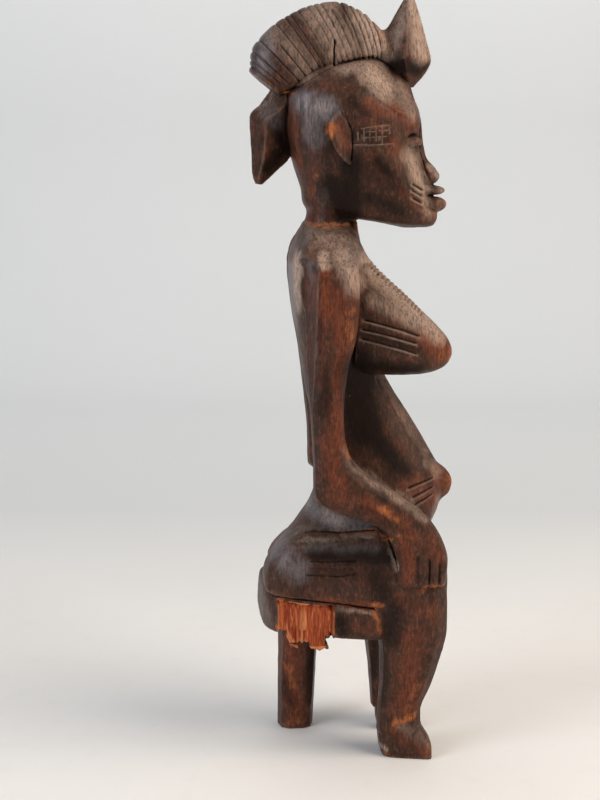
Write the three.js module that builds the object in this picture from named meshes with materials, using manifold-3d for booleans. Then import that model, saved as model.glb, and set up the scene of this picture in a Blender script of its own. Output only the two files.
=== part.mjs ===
// A seated woman on a stool, carved from one block of dark wood. The stool's right rear leg is broken off.
// Millimetres, +Z up. The figure faces -Y, its right side is -X, and it stands on Z = 0.
import * as THREE from 'three';
import { LoftGeometry } from 'three/addons/geometries/LoftGeometry.js';
import { mergeVertices } from 'three/addons/utils/BufferGeometryUtils.js';
import Module from 'manifold-3d';

const wasm = await Module();
wasm.setup();

const RIGHT = -1;
const LEFT = 1;
const SIDES = 24;

// How far the middle of each leg lies to the side, and the half width of the stool's seat.
const THIGH_REACH = 20.5;
const KNEE_REACH = 22;
const ANKLE_REACH = 19.5;
const SOLE_REACH = 17.9;
const TOES_OUT = 0.12;
const SEAT_HALF = 38;

// The left arm and leg aren't twins of the right ones. These are the differences.
const LEFT_ELBOW = { forward: 4.4, up: 2.6 };
const LEFT_HIP = { forward: 5.6, loss: 0.2 };
const LEFT_KNEE_BACK = 4.4;
const LEFT_CALF = { ankle: -4.8, knee: 4.8 };
const LEFT_HEEL_BACK = 6;

const CREST = { flutes: 24, fluteDepth: 0.9, backHalf: 13, frontHalf: 10, swell: 3 };
const HAND = { back: -21, width: 25.5, fingers: 4, bottom: 97, top: 114 };
const REAR_LEG = { x: 28, topY: 24, footY: 26.6, topZ: 84, topRadius: 12, footRadius: 10.2 };

// Where the stool's right rear leg tore off: hollows in the side of the seat, and fibres hanging below it.
const BREAK = {
  front: 12,
  back: 40.5,
  bottom: 70,
  top: 91,
  depth: 2.6,
  hollows: 8,
  fibres: 9,
  stubBottom: 62.8,
};

// Balls: [x, y, z of the middle, then the half sizes in x, y and z].
const EYE_HOLLOW = [17, -37, 325, 11, 6.5, 6.5];
const EYE = [12.5, -29.5, 325, 6, 4.5, 3.2];
const UPPER_LIP = [0, -41.5, 300.3, 8.5, 7.6, 2.5];
const LOWER_LIP = [0, -43, 294.2, 8, 7.6, 3.4];

// The ear leaf, in y and z: its top, and each next corner with the point that bends the edge towards it.
const EAR_TOP = [9, 341];
const EAR_EDGE = [[18, 335, 12.5, 324], [9, 317, 2.8, 313], [0.5, 328, 9, 341]];
const EAR = { reach: 21.9, thickness: 7, turn: 0.16, hingeY: 7 };

// The forms below are lofts. Each row is one rib, seen from the side as the line between two points of its
// outline: [y and z of the first point, y and z of the second, half width, middle in x, squareness].
const HEAD = [
  [-41, 281.8, -27, 281.8, 6],
  [-44, 283.4, -14, 284.6, 13],
  [-46, 287, 6, 287.5, 17],
  [-46, 293, 25, 292, 19.5],
  [-43.5, 301, 27, 302, 21.5],
  [-39.5, 312, 30, 313, 23.3],
  [-35.5, 325, 32.5, 327, 24],
  [-36.5, 337, 33.3, 338, 24],
  [-34, 347, 33, 348, 22.8],
  [-29.5, 356, 30, 356, 20],
  [-22, 363, 24, 362, 15.5],
  [-13, 368, 15, 367, 8],
];
const NECK = [
  [-5, 262, 29, 262, 15],
  [-4, 276, 25.5, 276, 13.5],
  [-4, 285, 24.6, 285, 13],
  [-6, 296, 26, 296, 15],
];
const NOSE = [
  [-39.5, 303.2, -34, 302.5, 3.5],
  [-43.8, 304, -33, 303.6, 6],
  [-46.2, 307.3, -33, 307.3, 6.2],
  [-43.5, 312, -32, 312, 4.6],
  [-40.2, 317.5, -31, 317.5, 3.2],
  [-38.6, 327, -30, 327, 2.6],
  [-37, 336.5, -30, 336.5, 3.4],
  [-34.6, 343, -28, 343, 3],
];
const HORN = [
  [-33, 353.5, -26, 353.5, 3],
  [-38.5, 359.5, -19, 359.5, 9],
  [-42, 367, -12, 367.5, 13.5],
  [-40.4, 374, -14.6, 375.5, 12],
  [-36, 389, -22.5, 387, 7],
  [-31.6, 402, -30, 402, 1],
];
const BUN = [
  [46.5, 304, 49.5, 304, 2],
  [39.5, 310, 51, 309, 6],
  [31, 318, 51.4, 321, 9.5],
  [27, 330, 52.2, 337.4, 11.5],
  [27, 343, 46.5, 345, 9],
  [29, 351, 41, 352.4, 5.5],
];
const TORSO = [
  [-18, 90, 42, 90, 25, 0, 2.4],
  [-27, 99, 42, 98.5, 29, 0, 2.4],
  [-37, 111, 37.5, 111, 34, 0, 2.4],
  [-45.5, 124, 28.8, 122.5, 33, 0, 2.4],
  [-49, 137, 20, 137, 28.5, 0, 2.3],
  [-48.6, 151, 16.8, 151, 24.5, 0, 2.2],
  [-41.6, 166, 17.4, 166, 22, 0, 2.2],
  [-32, 182, 20, 182, 21, 0, 2.3],
  [-22, 198, 23.5, 200, 21.8, 0, 2.4],
  [-14, 214, 26.2, 216, 25, 0, 2.6],
  [-10.5, 232, 29.2, 234, 30, 0, 2.9],
  [-8, 248, 31.8, 250, 36, 0, 3],
  [-6, 261, 32.8, 262, 41, 0, 3],
  [-5, 269, 31.5, 270, 40.5, 0, 2.8],
  [-4.5, 277, 28.5, 278, 32, 0, 2.4],
  [-4, 283.5, 26, 284, 17, 0, 2.2],
];
const BREAST = [
  [0, 208, -2, 273, 15, 16],
  [-13, 206, -12, 262, 16.5, 16.8],
  [-25, 205.6, -24.5, 250.4, 15.6, 17.2],
  [-36, 206.2, -35.6, 239.4, 13.2, 17.2],
  [-44, 208, -43.6, 231.6, 10.4, 17],
  [-49.2, 211, -49, 225.4, 7, 16.8],
  [-52, 215, -51.8, 220, 2.6, 16.6],
];
const NAVEL = [
  [-44, 157, -44, 130, 9],
  [-50.5, 153.5, -50.5, 135, 6.6],
  [-54.5, 149.5, -54.3, 138, 4],
  [-56, 146.4, -55.9, 142, 1.6],
];
const ARM = [
  [24, 277, 5, 276.5, 4, 30],
  [27, 272, 2.6, 271.5, 8.6, 34],
  [28.6, 264, 0.8, 264, 11, 37.5],
  [28.8, 252, 0, 252, 11.6, 39.4],
  [27.4, 232, 0.6, 232, 10.8, 40.6],
  [25.8, 210, 5.4, 212, 9.4, 41],
  [24.2, 188, 7.4, 190, 8.7, 40.8],
  [22.9, 165, 8, 174, 8.6, 40.3],
  [22.6, 147.5, 6.5, 164, 8.8, 40],
  [19.5, 142.6, 2, 157, 8.8, 40],
  [6.3, 136, -9.5, 150, 8.6, 39.8],
  [-10, 130, -25, 140.6, 7.8, 39.2],
  [-16, 124.5, -36.5, 132, 7.2, 38.8],
  [-18.5, 117, -43.6, 122.4, 6, 38.6],
  [-20, 109, -47, 111, 5.2, 38.8],
  [-21.5, 99.5, -46.6, 99.5, 4, 38.4],
  [-22.5, 96.8, -45.6, 96.8, 2.4, 38],
];
const THIGH = [
  [48.2, 98, 48, 102.5, 7],
  [47.2, 93.5, 45.6, 109, 13],
  [41.5, 89.5, 39, 117.5, 17],
  [29.5, 87, 27, 124.6, 18.4],
  [12, 84.5, 11, 127.8, 18.7],
  [-8, 81, -8, 129, 18.6],
  [-24, 80, -24, 128.6, 18.2],
  [-36, 82, -36, 126, 16.8],
  [-43.8, 86, -43.6, 120.6, 14.6],
  [-48, 93, -47.6, 113, 11],
  [-49.3, 99, -49.1, 107, 7],
];
const SHIN = [
  [-37.4, 14, -13.6, 13, 10.4],
  [-36, 25, -14.2, 25, 10],
  [-41, 40, -14.8, 40, 12.2],
  [-46, 56, -14.6, 56, 14.4],
  [-49.4, 72, -13, 72, 16.4],
  [-50.3, 88, -11, 88, 17.4],
  [-48.4, 104, -11, 104, 17],
];
const FOOT = [
  [-14.2, -6, -14.2, 12, 4.6],
  [-17, -8, -17, 19, 8.2],
  [-24, -8, -24, 25, 9.8],
  [-33, -8, -33, 24.5, 10.6],
  [-38.5, -8, -38.5, 17.5, 11],
  [-41.4, -7, -41.4, 11, 10.6],
  [-42.2, -5, -42.2, 8, 9.4],
];
const SEAT = [
  [-6, 67, 45.6, 74, SEAT_HALF - 3.5],
  [-9, 68.8, 48.4, 77.4, SEAT_HALF - 0.6],
  [-9.5, 77, 48.2, 86.5, SEAT_HALF],
  [-9, 85, 45.8, 94, SEAT_HALF - 1],
  [-6, 89, 42, 97.5, SEAT_HALF - 5],
];
// The crest is a fan. Its foot runs over the skull from the back of the head to the horn, its edge above that.
const CREST_FOOT = [[37, 349], [28, 351], [18, 356.5], [8, 361.5], [-2, 364.5], [-11, 367], [-18, 369]];
const CREST_EDGE = [
  [51.5, 362],
  [50.5, 372],
  [39.5, 386],
  [23.5, 394.4],
  [8, 396.4],
  [-6, 391.2],
  [-17, 381],
];

// Turns a circle's sine or cosine into a superellipse's: 2 is round, 1 a diamond, 4 nearly square.
const rounded = (value, power) => Math.sign(value) * Math.abs(value) ** (2 / power);

// One rib as a closed ring of points, widest at the share `wide` of the way from its first point.
function ring([y1, z1, y2, z2, half, x = 0, ownPower], { wide = 0.5, power = 2.2, sides = SIDES }) {
  const points = [];
  const square = ownPower ?? power;
  for (let i = 0; i < sides; i++) {
    const turn = (2 * Math.PI * i) / sides;
    const along = rounded(Math.sin(turn), square);
    const share = along < 0 ? wide * (1 + along) : wide + (1 - wide) * along;
    points.push(new THREE.Vector3(
      x + half * rounded(Math.cos(turn), square),
      THREE.MathUtils.lerp(y1, y2, share),
      THREE.MathUtils.lerp(z1, z2, share),
    ));
  }
  return points;
}

// Adds smooth rows between those given.
function smoothed(rows, steps) {
  const width = rows[0].length;
  const curve = new THREE.CubicInterpolant(rows.map((row, i) => i), rows.flat(), width);
  const count = (rows.length - 1) * steps;
  return Array.from({ length: count + 1 }, (_, i) => Array.from(curve.evaluate(i / steps)));
}

function solid(geometry) {
  const shell = new THREE.BufferGeometry();
  shell.setAttribute('position', geometry.attributes.position);
  shell.setIndex(geometry.index);
  const merged = mergeVertices(shell, 1e-4);
  return new wasm.Manifold(new wasm.Mesh({
    numProp: 3,
    vertProperties: new Float32Array(merged.attributes.position.array),
    triVerts: new Uint32Array(merged.index.array),
  }));
}

function loft(rows, options = {}) {
  const ribs = smoothed(rows, options.steps ?? 1).map((row) => ring(row, options));
  return solid(new LoftGeometry(ribs, { capStart: true, capEnd: true }));
}

// Sets every rib of a limb to one side, turned out by `splay` for each millimetre further to the front.
const onSide = (rows, side, reach, splay = 0) => rows.map(
  ([y1, z1, y2, z2, half]) => [y1, z1, y2, z2, half, side * (reach - splay * (y1 + y2) * 0.5)],
);
const mirrored = (rows, side) => rows.map(([y1, z1, y2, z2, half, x]) => [y1, z1, y2, z2, half, side * x]);

function ball([x, y, z, width, depth, height], side = LEFT) {
  const geometry = new THREE.SphereGeometry(1, 12, 8);
  geometry.rotateX(Math.PI / 2);
  geometry.scale(width, depth, height);
  geometry.translate(side * x, y, z);
  return solid(geometry);
}

function fan(points, share) {
  const curve = new THREE.CatmullRomCurve3(points.map(([y, z]) => new THREE.Vector3(0, y, z)));
  return curve.getPoint(share);
}

// The flutes are ribs that stand back by turns, so they notch the crest's edge as well as its sides.
function crest() {
  const ribs = [];
  const { flutes, fluteDepth, backHalf, frontHalf, swell } = CREST;
  const count = 2 * flutes;
  for (let i = 0; i <= count; i++) {
    const share = i / count;
    const foot = fan(CREST_FOOT, share);
    const edge = fan(CREST_EDGE, share);
    const back = i % 2 === 0 ? fluteDepth : 0;
    const reach = edge.clone().sub(foot).setLength(edge.distanceTo(foot) - back / 2);
    const half = THREE.MathUtils.lerp(backHalf, frontHalf, share) + swell * Math.sin(Math.PI * share) - back;
    const row = [foot.y, foot.z, foot.y + reach.y, foot.z + reach.z, half];
    ribs.push(ring(row, { wide: 0.3, power: 2.3, sides: 14 }));
  }
  return solid(new LoftGeometry(ribs, { capStart: true, capEnd: true }));
}

function head() {
  let form = loft(HEAD, { wide: 0.62, power: 2.3 });
  form = form.add(loft(NECK));
  for (const side of [RIGHT, LEFT]) {
    form = form.subtract(ball(EYE_HOLLOW, side));
    form = form.add(ball(EYE, side));
    form = form.add(ear(side));
  }
  form = form.add(loft(NOSE, { sides: 12 }));
  form = form.add(ball(UPPER_LIP));
  form = form.add(ball(LOWER_LIP));
  return form;
}

// A leaf that lies flat on the side of the head, its rear edge standing out.
function ear(side) {
  const { reach, thickness, turn, hingeY } = EAR;
  const leaf = new THREE.Shape();
  leaf.moveTo(...EAR_TOP);
  for (const edge of EAR_EDGE) {
    leaf.quadraticCurveTo(...edge);
  }
  const options = { depth: thickness, bevelEnabled: false, curveSegments: 4 };
  const geometry = new THREE.ExtrudeGeometry(leaf, options);
  // The shape's x and y are the figure's y and z, so its depth runs along x.
  geometry.applyMatrix4(new THREE.Matrix4().set(0, 0, 1, 0, 1, 0, 0, 0, 0, 1, 0, 0, 0, 0, 0, 1));
  geometry.translate(-thickness / 2, -hingeY, 0);
  geometry.rotateZ(-side * turn);
  geometry.translate(side * reach, hingeY, 0);
  return solid(geometry);
}

function torso() {
  let form = loft(TORSO, { wide: 0.62 });
  form = form.add(loft(NAVEL.map(([y1, z1, y2, z2, half]) => [y2, z2, y1, z1, half]), { sides: 12 }));
  for (const side of [RIGHT, LEFT]) {
    form = form.add(loft(mirrored(BREAST, side), { wide: 0.4, sides: 20 }));
  }
  return form;
}

// How much each rib of the left arm follows its elbow, from the shoulder to the fingers. Below 0 is back.
const ELBOW_PULL = [0, 0, 0, 0.12, 0.35, 0.6, 0.8, 1, 1, 1, 0.7, 0.2, -0.3, -0.5, -0.5, -0.5, -0.5];

function arm(side) {
  const rows = mirrored(ARM, side).map(([y1, z1, y2, z2, half, x], i) => {
    const pull = side === LEFT ? ELBOW_PULL[i] : 0;
    const forward = pull * LEFT_ELBOW.forward;
    const up = pull * LEFT_ELBOW.up;
    return [y1 - forward, z1 + up, y2 - forward, z2 + up, half, x];
  });
  let form = loft(rows, { power: 2.4, sides: 14 });
  for (let i = 1; i < HAND.fingers; i++) {
    const y = HAND.back - (HAND.width * i) / HAND.fingers;
    const fingertip = new THREE.Vector3(side * 45, y - 0.5, HAND.bottom);
    const knuckle = new THREE.Vector3(side * 46.5, y, HAND.top);
    form = form.subtract(groove(fingertip, knuckle));
  }
  return form;
}

// A four-sided cutter along the line between two points.
function groove(start, end, width = 1.6, depth = 3.2) {
  const length = start.distanceTo(end);
  const geometry = new THREE.CylinderGeometry(1, 1, length, 4);
  geometry.scale(depth, 1, width / 2);
  const along = end.clone().sub(start).normalize();
  geometry.applyQuaternion(new THREE.Quaternion().setFromUnitVectors(new THREE.Vector3(0, 1, 0), along));
  const middle = start.clone().add(end).multiplyScalar(0.5);
  geometry.translate(middle.x, middle.y, middle.z);
  return solid(geometry);
}

function leg(side) {
  const left = side === LEFT ? 1 : 0;
  const thigh = onSide(THIGH, side, THIGH_REACH).map(([y1, z1, y2, z2, half, x]) => {
    const knee = left * LEFT_KNEE_BACK * THREE.MathUtils.clamp(-y1 / 40, 0, 1);
    const hip = left * THREE.MathUtils.clamp(y1 / 36, 0, 1);
    const shift = knee - hip * LEFT_HIP.forward;
    return [y1 + shift, z1, y2 + shift, THREE.MathUtils.lerp(z2, z1, hip * LEFT_HIP.loss), half, x];
  });
  const shin = SHIN.map(([y1, z1, y2, z2, half]) => {
    const up = THREE.MathUtils.clamp(z1 / 75, 0, 1);
    const heel = left * THREE.MathUtils.lerp(LEFT_CALF.ankle, LEFT_CALF.knee, up);
    const front = left * LEFT_KNEE_BACK * up;
    return [y1 + front, z1, y2 + heel, z2, half, side * THREE.MathUtils.lerp(ANKLE_REACH, KNEE_REACH, up)];
  });
  const foot = onSide(FOOT, side, SOLE_REACH, TOES_OUT).map(([y1, z1, y2, z2, half, x]) => {
    const heel = left * THREE.MathUtils.mapLinear(y1, -14, -42, -LEFT_HEEL_BACK, 0);
    return [y1 + heel, z1, y2 + heel, z2, half, x];
  });
  let form = loft(thigh, { wide: 0.38, power: 3.4, sides: 20 });
  form = form.add(loft(shin, { power: 3, sides: 20 }));
  form = form.add(loft(foot, { power: 3.2, sides: 16 }));
  return form;
}

function rearLeg() {
  const { x, topY, footY, topZ, topRadius, footRadius } = REAR_LEG;
  const rows = [
    [footY - footRadius, -6, footY + footRadius, -6, footRadius, x],
    [footY - footRadius, 0, footY + footRadius, 0, footRadius, x],
    [topY - topRadius, topZ, topY + topRadius, topZ, topRadius, x - 1],
  ];
  return loft(rows, { power: 2.6, sides: 12 });
}

// The torn root of the right rear leg: bundles of fibre that end at different heights.
function stub() {
  const { front, back, bottom, stubBottom, fibres } = BREAK;
  const middle = (front + back) / 2;
  let form = null;
  for (let i = 0; i < fibres; i++) {
    const share = i / (fibres - 1);
    const y = THREE.MathUtils.lerp(front + 4, back - 7, share);
    const drop = (bottom - stubBottom) * (0.72 + 0.28 * Math.sin(2.4 + 5.3 * share));
    const height = drop + 8;
    const bundle = new THREE.CylinderGeometry(3.4, 2.2 + 0.5 * Math.sin(3 * i), height, 6);
    bundle.rotateX(Math.PI / 2);
    bundle.rotateZ(0.7 * i);
    bundle.scale(2.6 - 0.9 * Math.abs(y - middle) / middle, 1, 1);
    bundle.translate(-29 + 1.5 * Math.sin(2.1 * i), y, bottom + 8 - height / 2);
    const piece = solid(bundle);
    form = form ? form.add(piece) : piece;
  }
  return form;
}

// What the tear took from the side of the seat, as a row of hollows along the grain.
function tear() {
  const { front, back, bottom, top, depth, hollows } = BREAK;
  const pitch = (back - front) / hollows;
  let form = null;
  for (let i = 0; i < hollows; i++) {
    const hollow = new THREE.CylinderGeometry(pitch * 0.62, pitch * 0.62, top - bottom + 12, 6);
    hollow.rotateX(Math.PI / 2);
    hollow.scale(depth / (pitch * 0.62) + 0.3 * Math.sin(2.7 * i), 1, 1);
    hollow.translate(-SEAT_HALF - 0.2, front + pitch * (i + 0.5), (top + bottom - 12) / 2);
    const piece = solid(hollow);
    form = form ? form.add(piece) : piece;
  }
  return form;
}

function seatedFigure() {
  let form = head();
  form = form.add(crest());
  form = form.add(loft(HORN, { power: 1.25, sides: 12 }));
  form = form.add(loft(BUN, { power: 1.35, sides: 12 }));
  form = form.add(torso());
  form = form.add(loft(SEAT, { power: 4.2, sides: 28 }));
  for (const side of [RIGHT, LEFT]) {
    form = form.add(arm(side));
    form = form.add(leg(side));
  }
  form = form.add(rearLeg());
  form = form.subtract(tear());
  form = form.add(stub());
  const ground = new THREE.BoxGeometry(200, 200, 20);
  ground.translate(0, 0, -10);
  return form.subtract(solid(ground));
}

const mesh = seatedFigure().getMesh();
const geometry = new THREE.BufferGeometry();
geometry.setAttribute('position', new THREE.BufferAttribute(mesh.vertProperties, 3));
geometry.setIndex(new THREE.BufferAttribute(mesh.triVerts, 1));
geometry.computeBoundingBox();
const middle = geometry.boundingBox.getCenter(new THREE.Vector3());

const wood = new THREE.MeshStandardMaterial({ color: 0x3a2419, roughness: 0.48, metalness: 0 });
const figure = new THREE.Mesh(geometry, wood);
figure.name = 'seated_figure';
figure.position.set(-middle.x, -middle.y, 0);

const group = new THREE.Group();
group.add(figure);
export default group;
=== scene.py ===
"""The carved surface and the worn patina of a seated wooden figure, and the studio that it stands in."""

import math
from collections import namedtuple

import bpy
import numpy as np
import openvdb as vdb
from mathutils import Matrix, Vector


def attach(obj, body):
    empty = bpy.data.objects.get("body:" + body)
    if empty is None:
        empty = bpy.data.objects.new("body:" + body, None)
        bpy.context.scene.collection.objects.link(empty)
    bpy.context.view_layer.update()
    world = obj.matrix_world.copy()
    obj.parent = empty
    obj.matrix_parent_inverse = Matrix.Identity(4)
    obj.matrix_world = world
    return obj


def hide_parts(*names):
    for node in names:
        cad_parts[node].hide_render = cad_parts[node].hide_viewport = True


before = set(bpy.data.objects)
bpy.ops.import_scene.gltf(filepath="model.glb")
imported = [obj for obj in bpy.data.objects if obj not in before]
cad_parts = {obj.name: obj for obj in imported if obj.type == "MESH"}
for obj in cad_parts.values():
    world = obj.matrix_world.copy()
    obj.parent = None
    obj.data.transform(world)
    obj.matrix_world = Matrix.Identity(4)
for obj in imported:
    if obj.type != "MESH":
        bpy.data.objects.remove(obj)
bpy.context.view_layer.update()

# Forms are worked out in millimetres, as the CAD source does, then moved by SHIFT_Y into the frame and scaled.
MM = 0.001
SHIFT_Y = 1.9
VOXEL = 0.5
BAND = 4.0
RIGHT, LEFT = -1, 1
TRIANGLES = 192000
KEEP = 0.0006

# Ribs
# Each row is one rib, seen from the side as the line between two points of the outline:
# [y and z of the first point, y and z of the second, half width, middle in x, squareness].
HEAD = [
    [-41, 281.4, -27, 281.4, 6],
    [-44.2, 282.8, -14, 284.2, 13],
    [-46, 287, 6, 287.5, 17],
    [-46, 293, 23.2, 292, 19.5],
    [-43.5, 301, 25.6, 302, 21.5],
    [-39.5, 312, 29.2, 313, 23.3],
    [-35.5, 325, 32.5, 327, 24],
    [-36.2, 337, 33.3, 338, 24],
    [-33.2, 347, 33, 348, 22.8],
    [-29.5, 356, 30, 356, 20],
    [-22, 363, 24, 362, 15.5],
    [-13, 368, 15, 367, 8],
]
NECK = [
    [-2, 262, 25, 262, 14],
    [-1.4, 276, 24.2, 276, 13.2],
    [-1.8, 285, 23.2, 285, 14],
    [-4, 296, 21.6, 296, 17.4],
    [-6, 306, 22.6, 306, 19],
]
NOSE = [
    [-39.5, 303.2, -34, 302.5, 3.5],
    [-44.4, 304, -33, 303.6, 6],
    [-47.2, 307.8, -33, 307.8, 7],
    [-44.8, 312, -32, 312, 5.2],
    [-40.2, 317.5, -31, 317.5, 3.2],
    [-38, 327, -30, 327, 2.6],
    [-37, 336.5, -30, 336.5, 3.4],
    [-34.6, 343, -28, 343, 3],
]
HORN = [
    [-33, 353.5, -26, 353.5, 3],
    [-38.5, 359.5, -19, 359.5, 9],
    [-42, 367, -12, 367.5, 13.5],
    [-40.4, 374, -14.2, 375.5, 12],
    [-36, 389, -21.2, 387, 7],
    [-31.6, 402, -30, 402, 1],
]
BUN = [
    [45.6, 303.6, 49.5, 304, 2],
    [38.8, 310, 51, 309, 6],
    [31, 318, 51.4, 321, 9.5],
    [27, 330, 52.2, 337.4, 11.5],
    [27, 343, 46.5, 345, 9],
    [29, 351, 41, 352.4, 5.5],
]
TORSO = [
    [-18, 90, 42, 90, 25, 0, 2.4],
    [-27, 99, 42, 98.5, 29, 0, 2.4],
    [-37, 111, 37.5, 111, 34, 0, 2.4],
    [-44, 124, 28.8, 122.5, 33, 0, 2.4],
    [-49, 137, 20, 137, 28.5, 0, 2.3],
    [-48.6, 151, 16.8, 151, 24.5, 0, 2.2],
    [-41.6, 166, 17.4, 166, 22, 0, 2.2],
    [-32, 182, 20, 182, 21, 0, 2.3],
    [-22, 198, 23.5, 200, 21.8, 0, 2.4],
    [-14, 214, 26.2, 216, 25, 0, 2.6],
    [-10.5, 232, 29.2, 234, 30, 0, 2.9],
    [-8, 248, 31.2, 250, 36, 0, 3],
    [-6, 261, 31.6, 262, 41, 0, 3],
    [-5, 269, 30.2, 270, 40.5, 0, 2.8],
    [-4.5, 277, 27.6, 277.6, 31, 0, 2.4],
    [-3.6, 283.5, 24.4, 283.6, 15, 0, 2.2],
]
BREAST = [
    [0, 208, -2, 273, 15, 16],
    [-13, 206, -12, 262, 16.5, 16.8],
    [-25, 205.6, -24.5, 250.4, 15.6, 17.2],
    [-36, 206.2, -35.6, 239.4, 13.2, 17.2],
    [-44, 208, -43.6, 231.6, 10.4, 17],
    [-49.2, 211, -49, 225.4, 7, 16.8],
    [-52, 215, -51.8, 220, 2.6, 16.6],
]
NAVEL = [
    [-44, 130, -44, 157, 9],
    [-50.5, 135, -50.5, 153.5, 6.6],
    [-54.3, 138, -54.5, 149.5, 4],
    [-55.9, 142, -56, 146.4, 1.6],
]
ARM = [
    [22.4, 277, 5, 276.5, 4, 30],
    [25.8, 272, 2.6, 271.5, 8.6, 34],
    [27.8, 264, 0.8, 264, 11, 37.5],
    [28.2, 252, 0, 252, 11.6, 39.4],
    [27.4, 232, 0.6, 232, 10.8, 40.6],
    [25.8, 210, 5.4, 212, 9.4, 41],
    [24.2, 188, 7.4, 190, 8.7, 40.8],
    [22.9, 165, 6, 174, 8.6, 40.3],
    [22.6, 147.5, 2.6, 165.4, 8.8, 40],
    [19.5, 142.6, -4, 158.8, 8.8, 40],
    [6.3, 136, -12.5, 152.8, 8.6, 39.8],
    [-10, 130, -26.4, 143, 7.8, 39.2],
    [-16, 124.5, -37.2, 133.8, 7.2, 38.8],
    [-18.5, 117, -44.4, 122.8, 6, 38.6],
    [-20, 109, -47.6, 111, 5.2, 38.8],
    [-21.5, 99.5, -46.6, 99.5, 4, 38.4],
    [-22.5, 96.8, -45.6, 96.8, 2.4, 38],
]
ARM_ROUND = [1, 1, 1, 0.95, 0.8, 0.6, 0.4, 0.25, 0.1, 0, 0, 0, 0, 0.3, 0.5, 0.5, 0.5]
THIGH = [
    [47.2, 98, 47, 102.5, 7],
    [46, 93.5, 44.4, 109, 13],
    [40.6, 89.5, 38.2, 117.5, 17],
    [29.5, 87, 27, 124.6, 18.4],
    [12, 84.5, 11, 127.8, 18.7],
    [-8, 81, -8, 129, 18.6],
    [-24, 80, -24, 128.6, 18.2],
    [-36, 82, -36, 126, 16.8],
    [-43.8, 86, -43.6, 120.6, 14.6],
    [-48, 93, -47.6, 113, 11],
    [-49.3, 99, -49.1, 107, 7],
]
SHIN = [
    [-37.4, 14, -13.6, 13, 10.4],
    [-37, 25, -14.2, 25, 10],
    [-42.5, 40, -14.8, 40, 12.2],
    [-47.4, 56, -14.6, 56, 14.4],
    [-50.4, 72, -13, 72, 16.4],
    [-50.3, 88, -11, 88, 17.4],
    [-48.4, 104, -11, 104, 17],
]
FOOT = [
    [-15.2, 3, -14.4, 12, 4.6],
    [-17.6, -3, -17, 19, 8.2],
    [-24, -8, -24, 25, 9.8],
    [-33, -8, -33, 22, 10.8],
    [-38, -8, -38, 15.2, 11.2],
    [-40.8, -7, -40.8, 10.6, 10.8],
    [-41.8, -5, -41.8, 8.8, 9.8],
]
SEAT_HALF = 38
SEAT = [
    [-18, 66.4, 46.6, 73, SEAT_HALF - 3.5],
    [-20, 68, 48.2, 76, SEAT_HALF - 0.6],
    [-20, 76, 47.6, 85, SEAT_HALF],
    [-20, 84, 46.4, 91.5, SEAT_HALF - 1],
    [-14, 88, 42, 96, SEAT_HALF - 5],
]
REAR_LEG = [
    [16.4, -6, 36.8, -6, 10.2, 28],
    [16.6, 0, 36.4, 0, 10.2, 28],
    [12, 84, 36, 84, 12, 27],
]
CREST_FOOT = [[37, 349], [28, 351], [18, 356.5], [8, 361.5], [-2, 364.5], [-11, 367], [-18, 369]]
CREST_EDGE = [[52.1, 361.2], [50.7, 372], [38.6, 385.2], [23, 393.5], [8, 396.1], [-6, 391.2], [-17, 381]]

# The left arm and leg aren't twins of the right ones. These are the differences.
ELBOW_PULL = [0, 0, 0, 0.12, 0.35, 0.6, 0.8, 1, 1, 1, 0.7, 0.2, -0.3, -0.5, -0.5, -0.5, -0.5]


def smoothed(rows, steps):
    """Rows on a smooth curve through those given."""
    rows = np.array(rows, float)
    count = len(rows)
    t = np.linspace(0, count - 1, (count - 1) * steps + 1)
    i = np.clip(t.astype(int), 0, count - 2)
    u = (t - i)[:, None]
    padded = np.vstack([2 * rows[0] - rows[1], rows, 2 * rows[-1] - rows[-2]])
    slope = (padded[2:] - padded[:-2]) / 2
    rise = np.diff(rows, axis=0)
    # A row between two turns the curve no further than they do, so that nothing bulges past the named sizes.
    for k in range(count):
        before = rise[k - 1] if k else rise[0]
        after = rise[k] if k < count - 1 else rise[-1]
        limit = 3 * np.minimum(np.abs(before), np.abs(after))
        slope[k] = np.where(before * after > 0, np.sign(before) * np.minimum(np.abs(slope[k]), limit), 0)
    a, b, m, n = rows[i], rows[i + 1], slope[i], slope[i + 1]
    return (
        (2 * u**3 - 3 * u**2 + 1) * a
        + (u**3 - 2 * u**2 + u) * m
        + (3 * u**2 - 2 * u**3) * b
        + (u**3 - u**2) * n
    )


def full(rows, power, wide):
    """Rows with all eight numbers: the last two are the squareness and the share at which a rib is widest."""
    shares = wide if isinstance(wide, list) else [wide] * len(rows)
    done = []
    for row, share in zip(rows, shares):
        x = row[5] if len(row) > 5 else 0
        done.append([*row[:5], x, row[6] if len(row) > 6 else power, share])
    return done


def turns_of(corners, sides):
    """The turns of a ring's points in radians. A ring with corners has them at the same turns in each quarter."""
    if not corners:
        return np.linspace(0, 2 * np.pi, sides, endpoint=False), 1
    quarter = np.radians(corners)
    turns = [*quarter, *(np.pi - quarter[::-1]), *(np.pi + quarter), *(2 * np.pi - quarter[::-1])]
    turns = sorted({round(float(t) % (2 * np.pi), 6) for t in turns})
    return np.array(turns), max(1, sides // len(turns))


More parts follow.
